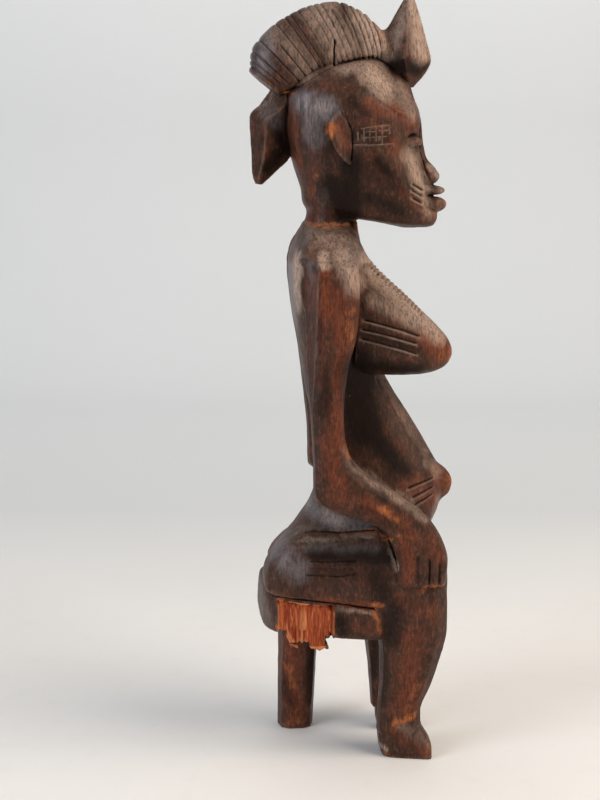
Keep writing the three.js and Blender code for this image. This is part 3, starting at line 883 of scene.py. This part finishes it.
def blurred(values, reach, times=2):
    for _ in range(times):
        for axis in range(3):
            total = np.zeros_like(values)
            for k in range(-reach, reach + 1):
                total += np.roll(values, k, axis)
            values = total / (2 * reach + 1)
    return values


def thinned(mesh, plain):
    """Joins triangles until TRIANGLES are left, mostly where `plain` is 1, and keeps those where it is 0."""
    holder = bpy.data.objects.new("holder", mesh)
    bpy.context.scene.collection.objects.link(holder)
    group = holder.vertex_groups.new(name="plain")
    levels = np.round(plain * 4).astype(int)
    for level in range(5):
        # A weight of exactly 0 would lock the point, so the lowest is a little above it.
        group.add(np.flatnonzero(levels == level).tolist(), max(level / 4, 0.02), "REPLACE")
    count = sum(len(polygon.vertices) - 2 for polygon in mesh.polygons)
    modifier = holder.modifiers.new("thin", "DECIMATE")
    modifier.ratio = min(1.0, TRIANGLES / count)
    modifier.vertex_group = group.name
    modifier.vertex_group_factor = KEEP
    done = bpy.data.meshes.new_from_object(holder.evaluated_get(bpy.context.evaluated_depsgraph_get()))
    bpy.data.objects.remove(holder)
    return done


# Patina, and painted light and shade
# A stroke of paint or wear follows a path of the side view: its path, how far it reaches, and its strength.
Stroke = namedtuple("Stroke", "path reach strength", defaults=(1.0,))

ORANGE = [
    Stroke([(12.9, 334), (12.2, 328)], 2.2),
    Stroke([(5.8, 173.5), (4.6, 168)], 2.2, 0.9),
    Stroke([(-10.5, 142), (-14.5, 139)], 2.6),
    Stroke([(-16, 137), (-19, 134)], 2.0, 0.8),
    Stroke([(-29, 129), (-31, 123)], 3.2, 0.15),
    Stroke([(-14.4, 124.6), (-17.4, 123.2)], 2.0),
    Stroke([(-19, 125.4), (-25, 126.6)], 1.3, 0.5),
    Stroke([(7, 125), (-9, 126.4)], 1.4, 0.7),
    Stroke([(-35, 95.6), (-44, 97)], 2.4, 0.7),
    Stroke([(-23, 99), (-27, 104)], 2.4, 0.15),
    Stroke([(-8.4, 88), (-13.6, 87)], 2.0, 0.9),
    Stroke([(-9.4, 85), (-12.6, 79), (-14, 71)], 1.9, 0.7),
    Stroke([(-23, 20.8), (-28, 22.4), (-34, 24.6)], 2.2, 1.0),
    Stroke([(-29, 29), (-33, 40)], 3.6, 0.4),
    Stroke([(-37, 3), (-40, 6)], 2.2, 0.3),
    Stroke([(-15, 2), (-20, 2)], 2.0, 0.5),
    Stroke([(31, 3), (24, 6)], 3.4, 0.5),
    Stroke([(30, 37), (28, 26)], 3.8, 0.45),
    Stroke([(27, 17.6), (23.2, 20.2)], 0.9, 0.8),
    Stroke([(-24, 62), (-26, 48)], 3.0, 0.35),
    Stroke([(-51.4, 219), (-50.5, 214.5)], 3.6, 0.75),
    Stroke([(-44, 223), (-44, 215)], 6.0, 0.35),
    Stroke([(-54.5, 147), (-54, 141)], 4.0, 0.5),
    Stroke([(23, 283.8), (3, 283.4)], 1.4, 0.8),
    Stroke([(-2, 285), (-2.6, 279)], 2.4, 0.5),
    Stroke([(-14.4, 381), (-14.8, 376)], 1.5, 0.9),
    Stroke([(7, 243), (0, 242)], 2.8, 0.45),
    Stroke([(7, 238), (3, 222)], 4.4, 0.4),
    Stroke([(18, 256), (17, 248)], 1.8, 0.35),
    Stroke([(34, 352), (30, 350)], 1.8, 0.6),
    Stroke([(22.4, 302), (22, 290)], 1.6, 0.3),
    Stroke([(19.6, 309.6), (19.2, 306.4)], 1.8, 0.35),
    Stroke([(-47, 296), (-50, 292)], 2.2, 0.5),
    Stroke([(40.4, 91.4), (32, 92)], 1.2, 0.7),
    Stroke([(41, 76), (39.4, 71)], 1.3, 0.9),
]
# Faded and dusty wood, and painted light on the facets that face the lamp: crown, forehead, horn, crest, cheek,
# breasts, belly, forearm and the back's edge.
TAN_AND_PAINTED_LIGHT = [
    Stroke([(-8, 362), (-16, 352)], 8.5),
    Stroke([(-24, 352), (-31, 340)], 6.0, 0.5),
    Stroke([(4, 362), (-10, 365)], 4.4, 0.7),
    Stroke([(-29, 319), (-36, 302)], 5.6, 0.85),
    Stroke([(-36, 301), (-40, 290)], 4.4, 0.55),
    Stroke([(-33, 400), (-37, 372)], 7.0, 1.2),
    Stroke([(-28, 392), (-20, 374)], 4.5, 0.6),
    Stroke([(-6, 390), (-12, 372)], 9.0, 1.1),
    Stroke([(16, 390), (4, 370)], 11.0, 0.65),
    Stroke([(38, 378), (24, 362)], 9.0, 0.4),
    Stroke([(20, 279), (2, 272)], 8.0, 0.45),
    Stroke([(-42, 313), (-46, 308)], 2.4, 0.7),
    Stroke([(8, 270), (2, 256)], 8.0, 0.8),
    Stroke([(17.8, 269), (17.6, 265)], 3.0, 1.3),
    Stroke([(30.5, 270), (30.6, 225)], 2.6, 1.1),
    Stroke([(-4, 266), (-24, 246), (-44, 228)], 6.4, 0.9),
    Stroke([(-8, 246), (-38, 231)], 4.6, 0.6),
    Stroke([(-49, 302), (-47, 299)], 2.6, 0.6),
    Stroke([(-48, 294), (-45, 289)], 3.2, 0.3),
    Stroke([(7.4, 171), (3.5, 162), (-5, 156)], 2.2, 0.35),
    Stroke([(-5, 156), (-18, 147), (-27, 141), (-35, 133.6)], 2.2, 0.45),
    Stroke([(-18, 202), (-28, 182), (-40, 163)], 3.8, 0.33),
    Stroke([(-40, 158), (-48, 150)], 4.0, 0.4),
    Stroke([(-47, 138), (-44, 128)], 3.0, 0.4),
    Stroke([(30, 121.6), (-8, 124.4)], 1.5, 0.4),
    Stroke([(-16.4, 122), (-20.4, 106)], 1.6, 0.5),
    Stroke([(9, 86), (-8, 83.2)], 1.2, 0.55),
    Stroke([(49, 343), (40, 349)], 4.0, 0.35),
    Stroke([(-26, 18), (-38, 9)], 5.0, 0.3),
    Stroke([(-15.6, 6.4), (-17.4, 4.4)], 1.0, 1.3),
    Stroke([(22, 22), (28, 60)], 8.0, 0.4),
    Stroke([(46, 88), (45, 74)], 3.4, 0.2),
    Stroke([(24, 138), (8, 131)], 6.0, 0.3),
    Stroke([(14, 338), (4, 316)], 3.4, 0.2),
    Stroke([(23, 345), (15, 342)], 5.0, 0.3),
    Stroke([(10, 84.6), (-4, 83.4)], 2.0, 0.25),
]
RED = [
    Stroke([(-28, 368.6), (-40, 368)], 1.6, 0.9),
    Stroke([(-7, 345), (-20, 340)], 4.6, 0.9),
    Stroke([(18, 266), (17.2, 240)], 3.2, 1.2),
    Stroke([(23, 258), (21, 205)], 4.0, 0.6),
    Stroke([(10, 250), (4, 235)], 6.0, 0.6),
    Stroke([(12, 250), (8, 215), (14, 168)], 7.0, 0.75),
    Stroke([(14, 166), (10, 146)], 8.0, 0.65),
    Stroke([(2, 146), (-24, 132)], 5.6, 0.75),
    Stroke([(-24, 128), (-27, 102)], 5.0, 0.8),
    Stroke([(-34, 124), (-42, 112)], 5.0, 0.5),
    Stroke([(-6, 318), (-22, 306)], 7.0, 0.3),
    Stroke([(-18, 345), (-32, 334)], 5.0, 0.7),
    Stroke([(-10, 334), (-24, 320)], 5.0, 0.6),
    Stroke([(-26, 300), (-44, 288)], 5.0, 0.5),
    Stroke([(-36, 226), (-46, 218)], 7.5, 0.8),
    Stroke([(-20, 240), (-30, 218)], 6.0, 0.3),
    Stroke([(-28, 150), (-42, 140)], 7.5, 0.7),
    Stroke([(-46, 150), (-54, 142)], 6.0, 0.7),
    Stroke([(-22, 170), (-32, 152)], 5.0, 0.4),
    Stroke([(20, 90), (-8, 87)], 3.6, 0.7),
    Stroke([(-24, 92), (-42, 80)], 8.0, 0.35),
    Stroke([(-30, 70), (-28, 28)], 9.0, 0.7),
    Stroke([(-20, 16), (-36, 6)], 6.0, 0.5),
    Stroke([(30, 62), (27, 8)], 8.0, 0.9),
    Stroke([(2, 262), (2, 240)], 4.6, 0.5),
    Stroke([(0, 76), (-9, 74)], 4.0, 0.5),
    Stroke([(31, 346), (28, 312)], 3.0, 0.5),
    Stroke([(22, 312), (20, 286)], 4.6, 0.45),
    Stroke([(47, 330), (40, 312)], 3.6, 0.35),
    Stroke([(10, 337), (4, 318)], 4.6, 0.5),
]
# Dark patina, and painted shade under the jaw, the horn and the breasts, below the forearm, beside the hand and
# between the legs.
BLACK_AND_SHADE = [
    Stroke([(16, 346), (14, 312)], 6.0, 0.5),
    Stroke([(2, 330), (-16, 328)], 5.0, 0.6),
    Stroke([(3, 347), (-5, 340)], 3.6, 0.6),
    Stroke([(2, 314), (2, 290)], 8.0, 1.1),
    Stroke([(12, 304), (4, 288)], 6.6, 1.1),
    Stroke([(0, 294), (-1, 268)], 4.0, 1.0),
    Stroke([(17.4, 214), (17, 192)], 3.4, 0.6),
    Stroke([(-12, 316), (-18, 310)], 4.0, 0.8),
    Stroke([(-8, 298), (-24, 290)], 6.0, 0.75),
    Stroke([(-4, 314), (-24, 303)], 8.0, 0.5),
    Stroke([(0, 212), (-6, 178)], 12.0, 1.2),
    Stroke([(-8, 178), (-26, 156)], 7.0, 0.95),
    Stroke([(-6, 213), (-34, 209)], 5.0, 0.8),
    Stroke([(-8, 229), (-30, 221)], 5.0, 0.6),
    Stroke([(21, 116.5), (-16, 113.5)], 7.4, 1.0),
    Stroke([(24, 106), (-14, 104)], 6.0, 0.45),
    Stroke([(34, 104), (26, 96)], 5.0, 0.3),
    Stroke([(-7, 109), (-14, 92)], 7.0, 0.75),
    Stroke([(-20, 86), (-19, 66)], 6.4, 0.7),
    Stroke([(9, 80), (7, 74)], 4.6, 0.9),
    Stroke([(-17, 365), (-36, 363)], 5.0, 1.0),
    Stroke([(40, 336), (34, 322), (44, 312)], 5.0, 0.9),
    Stroke([(22, 240), (21, 190)], 3.4, 0.5),
    Stroke([(0, 143), (-22, 129)], 2.6, 0.5),
    Stroke([(-6, 152), (-14, 146)], 3.0, 0.6),
    Stroke([(18, 60), (18, 16)], 3.0, 0.7),
    Stroke([(34, 66), (33, 58)], 4.0, 0.7),
    Stroke([(33, 28), (30, 16)], 4.0, 0.6),
    Stroke([(-16, 60), (-16, 30)], 3.0, 0.6),
]
# Glossy places, whose colour takes in a painted reflection of the pale surroundings.
GLOSS_AND_PAINTED_SHEEN = [
    Stroke([(25, 345), (15, 342)], 7.0, 1.3),
    Stroke([(22, 336), (20, 328)], 6.5, 0.6),
    Stroke([(46, 378), (46, 364)], 7.0, 0.8),
    Stroke([(43, 342), (38, 336)], 6.0, 0.5),
    Stroke([(24.4, 265), (24.2, 259)], 1.8, 0.5),
    Stroke([(23.6, 256), (21, 200)], 3.2, 0.18),
    Stroke([(31, 262), (31, 225)], 2.6, 0.6),
    Stroke([(28, 139), (20, 133), (6, 130), (-4, 128.6)], 5.0, 0.9),
    Stroke([(37, 114), (31, 107)], 8.0, 0.8),
    Stroke([(26, 119), (-10, 118)], 4.0, 0.3),
    Stroke([(15, 302), (17, 286)], 3.0, 0.2),
    Stroke([(45, 82), (45, 74)], 4.0, 0.3),
]


def painted(strokes, y, z, warp):
    """How strongly a list of strokes shows at each point: full on its path, and less and less beside it."""
    y, z = y + warp[0], z + warp[1]
    total = np.zeros(len(y), np.float32)
    for path, reach, strength in strokes:
        total = np.maximum(total, strength * (1 - smoothstep(to_line(path, y, z) / reach, 0.0, 1.5)))
    return total


class Shader:
    """A material, with short names for the nodes that it uses."""

    def __init__(self, name):
        self.material = bpy.data.materials.new(name)
        self.material.use_nodes = True
        self.tree = self.material.node_tree
        self.tree.nodes.clear()

    def node(self, kind, **inputs):
        node = self.tree.nodes.new(kind)
        for key, value in inputs.items():
            self.put(node.inputs[key.replace("_", " ")], value)
        return node

    def put(self, socket, value):
        if isinstance(value, bpy.types.NodeSocket):
            self.tree.links.new(value, socket)
        else:
            socket.default_value = value

    def math(self, operation, a, b=0.0, clamp=False):
        node = self.tree.nodes.new("ShaderNodeMath")
        node.operation = operation
        node.use_clamp = clamp
        self.put(node.inputs[0], a)
        self.put(node.inputs[1], b)
        return node.outputs[0]

    def add(self, a, b):
        return self.math("ADD", a, b)

    def times(self, a, b):
        return self.math("MULTIPLY", a, b)

    def noise(self, cell, detail=4, rough=0.55, stretch=1.0, warp=0.0):
        """Noise whose largest lumps are `cell` metres wide, and `stretch` times as tall."""
        where = self.tree.nodes.new("ShaderNodeTexCoord").outputs["Object"]
        mapping = self.tree.nodes.new("ShaderNodeMapping")
        mapping.inputs["Scale"].default_value = (1 / cell, 1 / cell, 1 / cell / stretch)
        self.tree.links.new(where, mapping.inputs["Vector"])
        node = self.node("ShaderNodeTexNoise", Scale=1.0, Detail=detail, Roughness=rough, Distortion=warp)
        self.tree.links.new(mapping.outputs[0], node.inputs["Vector"])
        return node.outputs["Fac"]

    def mask(self, name):
        node = self.tree.nodes.new("ShaderNodeAttribute")
        node.attribute_name = name
        return node.outputs["Fac"]

    def ramp(self, value, low, high, out_low=0.0, out_high=1.0):
        node = self.tree.nodes.new("ShaderNodeMapRange")
        node.clamp = True
        self.put(node.inputs["Value"], value)
        for key, number in zip(("From Min", "From Max", "To Min", "To Max"), (low, high, out_low, out_high)):
            node.inputs[key].default_value = number
        return node.outputs[0]

    def mix(self, share, a, b, mode="MIX"):
        node = self.tree.nodes.new("ShaderNodeMix")
        node.data_type = "RGBA"
        node.blend_type = mode
        self.put(node.inputs[0], share)
        for socket, value in ((node.inputs[6], a), (node.inputs[7], b)):
            self.put(socket, value if isinstance(value, bpy.types.NodeSocket) else (*value, 1.0))
        return node.outputs[2]

    def surface(self, color, rough, bump, specular=0.5, tint=(1.0, 1.0, 1.0)):
        bsdf = self.node("ShaderNodeBsdfPrincipled", Base_Color=color, Roughness=rough, Normal=bump)
        self.put(bsdf.inputs["Specular IOR Level"], specular)
        bsdf.inputs["Specular Tint"].default_value = (*tint, 1.0)
        out = self.tree.nodes.new("ShaderNodeOutputMaterial")
        self.tree.links.new(bsdf.outputs[0], out.inputs[0])
        return self.material


# Colours of the wood, as linear red, green and blue, and of the light, shade and reflection painted onto it.
DARK = (0.022, 0.0095, 0.0065)
BROWN = (0.088, 0.040, 0.026)
REDDISH = (0.172, 0.040, 0.017)
SOOT_AND_SHADE = (0.0065, 0.0050, 0.0045)
BARE = (0.460, 0.140, 0.042)
RUBBED = (0.200, 0.105, 0.068)
FADED_AND_PAINTED_LIGHT = (0.450, 0.315, 0.240)
DUST = (0.220, 0.160, 0.120)
CHALK_AND_HIGHLIGHT = (0.400, 0.290, 0.220)
PAINTED_REFLECTION = (0.165, 0.150, 0.158)
GROOVE = (0.007, 0.0035, 0.0025)
TORN_DARK = (0.205, 0.032, 0.011)
TORN = (0.400, 0.095, 0.034)
TORN_PALE_AND_HIGHLIGHT = (0.620, 0.240, 0.100)


def wood_material():
    """Dark oiled wood: darkest in the hollows, red-brown where hands wore it, with bare and dusty spots, and with
    light, shade and reflections painted on in places.
    """
    s = Shader("dark_wood")
    cloud = s.noise(0.016, 5, 0.6, 1.5)
    mottle = s.noise(0.0046, 5, 0.62, 1.4, 0.5)
    fine = s.noise(0.0014, 4, 0.6, 2.0, 0.3)
    grain = s.noise(0.0010, 3, 0.6, 5, 0.5)
    pores = s.noise(0.0007, 2, 0.5, 5)
    flecks = s.noise(0.0017, 1, 0.4)
    ragged = s.add(s.add(s.times(cloud, 0.25), s.times(mottle, 0.45)), s.times(fine, 0.30))
    speckle = s.add(s.times(mottle, 0.4), s.times(fine, 0.6))

    def shown(name, low, high, gain=1.0, tear=2.0, by=ragged):
        """How much of a mask's colour shows: its share, broken up by a noise."""
        drive = s.add(s.mask(name), s.times(s.math("SUBTRACT", by, 0.5), tear))
        return s.times(s.times(s.ramp(drive, low, high), s.ramp(s.mask(name), 0.0, 0.3)), gain)

    color = s.mix(s.ramp(ragged, 0.36, 0.64), DARK, BROWN)
    color = s.mix(s.times(s.ramp(mottle, 0.50, 0.66), 0.35), color, REDDISH)
    color = s.mix(shown("red", 0.10, 0.90, 0.85), color, REDDISH)
    color = s.mix(s.times(s.ramp(fine, 0.46, 0.34), 0.35), color, RUBBED)
    # Near-black patina, and painted shade where the strokes lie in recesses and under parts.
    color = s.mix(shown("black_and_shade", 0.10, 0.80, 0.92, 1.4), color, SOOT_AND_SHADE)
    color = s.mix(shown("wear", 0.40, 1.0, 0.55), color, RUBBED)
    # Painted reflection: a pale grey mixed into the colour of the glossy places.
    color = s.mix(shown("gloss_and_painted_sheen", 0.0, 1.1, 0.85, 1.6), color, PAINTED_REFLECTION)
    # Faded, dusty tan, and painted light on the lit facets.
    color = s.mix(shown("tan", 0.05, 1.0, 0.92, 1.1), color, FADED_AND_PAINTED_LIGHT)
    color = s.mix(shown("orange", 0.25, 1.0, 0.95, 3.4, speckle), color, BARE)
    color = s.mix(shown("dust", 0.35, 1.15, 0.35), color, DUST)
    color = s.mix(s.times(s.ramp(grain, 0.46, 0.64), 0.55), color, DARK)
    color = s.mix(s.times(s.ramp(fine, 0.52, 0.68), 0.50), color, SOOT_AND_SHADE)
    # Painted highlight along the incisions.
    color = s.mix(s.times(s.mask("pale"), 0.75), color, CHALK_AND_HIGHLIGHT)
    color = s.mix(s.times(s.mask("deep"), 0.90), color, GROOVE)
    color = s.mix(s.times(s.ramp(flecks, 0.775, 0.80), 0.2), color, CHALK_AND_HIGHLIGHT)
    # Fresh wood inside the break, with darker fibres along the grain and a painted highlight on its ridges.
    fibre = s.noise(0.0015, 4, 0.65, 8, 1.2)
    strip = s.noise(0.004, 2, 0.5, 6, 0.6)
    torn = s.mix(s.ramp(s.add(s.times(fibre, 0.7), s.times(strip, 0.3)), 0.42, 0.58), TORN_DARK, TORN)
    torn = s.mix(s.times(s.ramp(fibre, 0.56, 0.68), 0.6), torn, TORN_PALE_AND_HIGHLIGHT)
    # Painted highlight on the ridges of the break.
    torn = s.mix(s.ramp(s.mask("wear"), 0.35, 0.8, 0.0, 0.6), torn, TORN_PALE_AND_HIGHLIGHT)
    torn = s.mix(s.times(s.mask("deep"), 0.65), torn, TORN_DARK)
    color = s.mix(s.ramp(s.mask("fresh"), 0.35, 0.65), color, torn)

    matte = s.math("ADD", s.times(s.mask("tan"), 0.06), s.times(s.mask("dust"), 0.14))
    rough = s.add(s.ramp(ragged, 0.36, 0.64, 0.34, 0.54), matte)
    rough = s.add(rough, s.times(s.mask("deep"), 0.25))
    rough = s.add(rough, s.times(s.mask("gloss_and_painted_sheen"), -0.08))
    rough = s.math("ADD", rough, s.times(s.mask("fresh"), 0.40), True)
    shine = s.add(s.ramp(s.mask("gloss_and_painted_sheen"), 0.1, 1.0, 0.20, 0.50), s.times(s.mask("deep"), -0.12))
    shine = s.add(shine, s.times(s.mask("black_and_shade"), -0.10))

    height = s.add(s.times(mottle, 0.50), s.times(grain, 0.16))
    height = s.add(height, s.times(fine, 0.26))
    height = s.add(height, s.times(pores, 0.08))
    height = s.add(height, s.times(s.times(fibre, s.mask("fresh")), 1.3))
    bump = s.node("ShaderNodeBump", Strength=0.6, Distance=0.0006, Height=height)
    return s.surface(color, rough, bump.outputs[0], shine, (1.0, 0.86, 0.76))


def set_mask(mesh, name, values):
    layer = mesh.attributes.new(name, "FLOAT", "POINT")
    layer.data.foreach_set("value", np.clip(values, 0, 1).astype(np.float32))


def within(y, z, box, soft=3.0):
    """1 inside a box of the side view (lowest y, highest y, lowest z, highest z), less and less outside it."""
    away = np.maximum(np.maximum(box[0] - y, y - box[1]), np.maximum(box[2] - z, z - box[3]))
    return 1 - smoothstep(away, 0, soft)


# Where the carving is fine, so that the mesh keeps its triangles there.
FINE = [
    (-55, 12, 286, 346),
    (-22, 54, 344, 400),
    (-38, 2, 213, 241),
    (-50, 4, 228, 276),
    (-48, -26, 132, 152),
    (-48, -14, 94, 120),
    (-4, 30, 101, 114),
    (9, 44, 60, 94),
    (2, 28, 262, 286),
]


def plainness(co):
    x, y, z = co.T
    fine = np.zeros(len(co), np.float32)
    for box in FINE:
        fine = np.maximum(fine, within(y, z, box))
    return 1 - fine * np.where(x < 4, 1.0, 0.5)


def paint(mesh, field, at):
    """Puts the masks of the patina and of the painted light and shade on the mesh: worn edges, hollows, dust and the
    strokes above.
    """
    co, no = corners_of(mesh), normals_of(mesh)
    small = blurred(field[::2, ::2, ::2], 1, 2)
    wide = blurred(field[::4, ::4, ::4], 1, 3)
    here = sample(field, co, LOW, VOXEL)
    sharp = sample(small, co, LOW, VOXEL * 2) - here
    broad = sample(wide, co, LOW, VOXEL * 4) - here
    x, y, z = co.T
    rough = at(co, (4, 4, 6)) * 0.5 + at(co + 17, (1.7, 1.7, 2.3)) * 0.5
    warp = [2.4 * (at(co + 41 + 9 * k, (5, 5, 6)) - 0.5) + 1.2 * (at(co + 3 * k, (2, 2, 2.4)) - 0.5) for k in (0, 1)]
    wear = smoothstep(sharp, 0.06, 0.5) * 0.7 + smoothstep(broad, 0.3, 1.2) * 0.4
    hollow = smoothstep(-sharp, 0.12, 0.60)
    # Below the seat the strokes show on the inner side of the left legs too, as the photo does.
    below = smoothstep(-z, -68, -62)
    near = smoothstep(-x, -6, 4) * (1 - below) + smoothstep(-no[:, 0], 0.0, 0.5) * below
    patch = smoothstep(at(co + 70, (14, 14, 22)), 0.50, 0.80)
    spots = smoothstep(at(co + 90, (8, 8, 8)), 0.74, 0.9)
    set_mask(mesh, "orange", np.maximum(painted(ORANGE, y, z, warp) * near, 0.6 * spots * (1 - near)))
    backward = smoothstep(no[:, 1], 0.3, 0.8)
    backward = backward * smoothstep(-z, -300, -290)
    shown = smoothstep(-x, -14 + 24 * backward, 6 + 22 * backward)
    # Faded wood and painted light, from the strokes above.
    set_mask(mesh, "tan", painted(TAN_AND_PAINTED_LIGHT, y, z, warp) * (0.2 + 0.8 * shown))
    set_mask(mesh, "red", np.maximum(painted(RED, y, z, warp) * near, patch * (1 - near) * 0.8))
    # Dark patina and painted shade, from the strokes above.
    set_mask(mesh, "black_and_shade", painted(BLACK_AND_SHADE, y, z, warp) * (0.5 + 0.5 * near))
    # Glossier places with a painted reflection, from the strokes above.
    set_mask(mesh, "gloss_and_painted_sheen", painted(GLOSS_AND_PAINTED_SHEEN, y, z, warp) * (0.5 + 0.5 * near))
    set_mask(mesh, "wear", wear * (0.55 + 0.9 * rough))
    set_mask(mesh, "dust", smoothstep(no[:, 2], 0.15, 0.9) * (0.3 + rough))
    dotted = within(y, z, (0, 24, 264, 284), 4.0)
    set_mask(mesh, "deep", hollow * (1 - 0.6 * dotted))
    # Painted highlight: a pale line along the lower wall of each incision, which faces up towards the lamp.
    pale = np.zeros(len(co), np.float32)
    for lines, strength in ((TEMPLE, 0.4), (BREAST_LINES, 0.5), (CHEEK, 0.6), (NAVEL_LINES, 0.3)):
        for line in lines:
            away = to_line(line.path, y, z + 0.7 * line.width) / line.width
            in_reach = (np.abs(x) > line.near) & (np.abs(x) < line.far)
            pale = np.maximum(pale, strength * in_reach * smoothstep(-away, -1.0, -0.2))
    set_mask(mesh, "pale", pale * (0.3 + 1.2 * rough))
    torn = smoothstep(np.minimum(y - 11.2, 40.8 - y), -0.3, 0.5)
    torn = torn * smoothstep(90.9 - 0.14 * (40 - y) - z, -0.3, 0.6) * smoothstep(z, 58, 60)
    torn = torn * smoothstep(-x, 18, 21) * np.where(z > 71, smoothstep(-x, 32.5, 34), smoothstep(y, 15.6, 16.6))
    set_mask(mesh, "fresh", torn)


def build_figure():
    rng = np.random.default_rng(11)
    at = noise(rng)
    field = head_field()
    merge(field, hair_field(rng), lambda z: 0.5 + 0 * z)
    merge(field, body_field(), lambda z: 1.0 + 2.4 * smoothstep(z, 274, 282))
    legs = leg_field()
    merge(legs, seat_field(), lambda z: 2.4 - 1.9 * smoothstep(z, 79, 84))
    merge(field, legs, lambda z: 0.6 + 0 * z)
    del legs
    carve(field, rng)
    tear(field, at)
    # The soles are flat on the floor.
    block = block_of((-60, -70, -4), (60, 70, 2))
    field[block] = np.maximum(field[block], -places(block)[2].astype(np.float32))
    np.clip(field, -BAND, BAND, out=field)

    mesh = mesh_of("figure", *extract(field))
    co, no = corners_of(mesh), normals_of(mesh)
    # The facets that the knife left, and slow waves of the hand.
    marks = knife_marks(co, rng, (8, 8, 17))
    waves = at(co, (11, 11, 24)) - 0.5
    amount = np.clip((co[:, 2] - 1.0) / 3, 0, 1)
    co = co + no * ((0.35 * waves - 0.24 * (marks - 0.6)) * amount)[:, None]
    mesh.vertices.foreach_set("co", co.astype(np.float32).ravel())
    mesh.update()
    mesh = thinned(mesh, plainness(co))
    paint(mesh, field, at)

    co = corners_of(mesh) + np.array([0, SHIFT_Y, 0], np.float32)
    mesh.vertices.foreach_set("co", (co * MM).astype(np.float32).ravel())
    mesh.polygons.foreach_set("use_smooth", np.ones(len(mesh.polygons), bool))
    mesh.update()
    mesh.materials.clear()
    mesh.materials.append(wood_material())
    piece = bpy.data.objects.new("figure", mesh)
    bpy.context.scene.collection.objects.link(piece)
    return piece


figure = build_figure()
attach(figure, "root")
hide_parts("seated_figure")
print("figure triangles", sum(len(polygon.vertices) - 2 for polygon in figure.data.polygons))


# Studio
def studio():
    """A pale sheet that runs from the floor up behind the figure."""
    start, bend, top, half = 1.1, 0.35, 2.4, 3.2
    profile = [(-4.0, 0.0), (start, 0.0)]
    for a in np.linspace(0.1, math.pi / 2, 14):
        profile.append((start + bend * math.sin(a), bend - bend * math.cos(a)))
    profile.append((start + bend, top))
    mesh = bpy.data.meshes.new("sweep")
    points = [(side * half, d, h) for side in (-1, 1) for d, h in profile]
    n = len(profile)
    mesh.from_pydata(points, [], [(i, i + 1, n + i + 1, n + i) for i in range(n - 1)])
    mesh.polygons.foreach_set("use_smooth", np.ones(n - 1, bool))
    sweep = bpy.data.objects.new("sweep", mesh)
    bpy.context.scene.collection.objects.link(sweep)
    sweep.rotation_euler = (0, 0, math.radians(-90 - 5))
    s = Shader("paper")
    tint = s.noise(0.4, 3, 0.5)
    folds = s.noise(0.16, 2, 0.4, 3.0, 0.8)
    specks = s.noise(0.016, 4, 0.6)
    where = s.tree.nodes.new("ShaderNodeTexCoord").outputs["Object"]
    depth = s.node("ShaderNodeSeparateXYZ", Vector=where).outputs[1]
    color = s.mix(s.ramp(tint, 0.35, 0.65), (0.83, 0.82, 0.80), (0.89, 0.87, 0.83))
    # Painted shade: from 0.15 m to 0.55 m back the sheet turns a darker grey, for the lesser light on the far floor
    # and the wall.
    color = s.mix(s.ramp(depth, 0.15, 0.55), color, (0.655, 0.67, 0.67))
    color = s.mix(s.times(s.ramp(specks, 0.55, 0.75), 0.12), color, (0.66, 0.64, 0.61))
    bump = s.node("ShaderNodeBump", Strength=0.25, Distance=0.006, Height=folds)
    mesh.materials.append(s.surface(color, 0.85, bump.outputs[0], 0.3))


def soft_light(name, place, target, size, power, color):
    data = bpy.data.lights.new(name, "AREA")
    data.shape = "RECTANGLE"
    data.size, data.size_y = size
    data.energy = power
    data.color = color
    light = bpy.data.objects.new(name, data)
    bpy.context.scene.collection.objects.link(light)
    light.location = place
    light.rotation_euler = (Vector(target) - Vector(place)).to_track_quat("-Z", "Y").to_euler()


def camera():
    distance, height, behind = 0.85, 0.33, math.radians(5)
    target = Vector((0, 0.026 + SHIFT_Y * MM, 0.19))
    place = Vector((-distance * math.cos(behind), target.y + distance * math.sin(behind), height))
    data = bpy.data.cameras.new("camera")
    data.sensor_fit = "VERTICAL"
    data.sensor_height = 24
    data.lens = 24 * 1621 / 800
    data.clip_start, data.clip_end = 0.01, 50
    eye = bpy.data.objects.new("camera", data)
    eye.location = place
    eye.rotation_euler = (target - place).to_track_quat("-Z", "Y").to_euler()
    bpy.context.scene.collection.objects.link(eye)
    bpy.context.scene.camera = eye


def lights():
    middle = (0, 0, 0.22)
    soft_light("key", (-0.62, -1.15, 1.05), middle, (1.2, 1.2), 24, (1.0, 0.87, 0.75))
    soft_light("fill", (-0.75, 1.25, 0.65), middle, (0.8, 1.0), 13, (0.84, 0.90, 1.0))
    soft_light("top", (0.3, 0.1, 1.9), (0.1, 0, 0.1), (1.6, 1.6), 9, (1.0, 0.97, 0.93))
    soft_light("wall", (0.85, 0.0, 1.1), (1.6, 0.0, 0.6), (2.4, 0.5), 6, (0.95, 0.97, 1.0))
    world = bpy.data.worlds.new("studio")
    world.use_nodes = True
    background = world.node_tree.nodes["Background"]
    background.inputs[0].default_value = (0.88, 0.93, 1.0, 1)
    background.inputs[1].default_value = 0.18
    bpy.context.scene.world = world
    bpy.context.scene.view_settings.view_transform = "Standard"


studio()
lights()
camera()

bpy.context.view_layer.update()
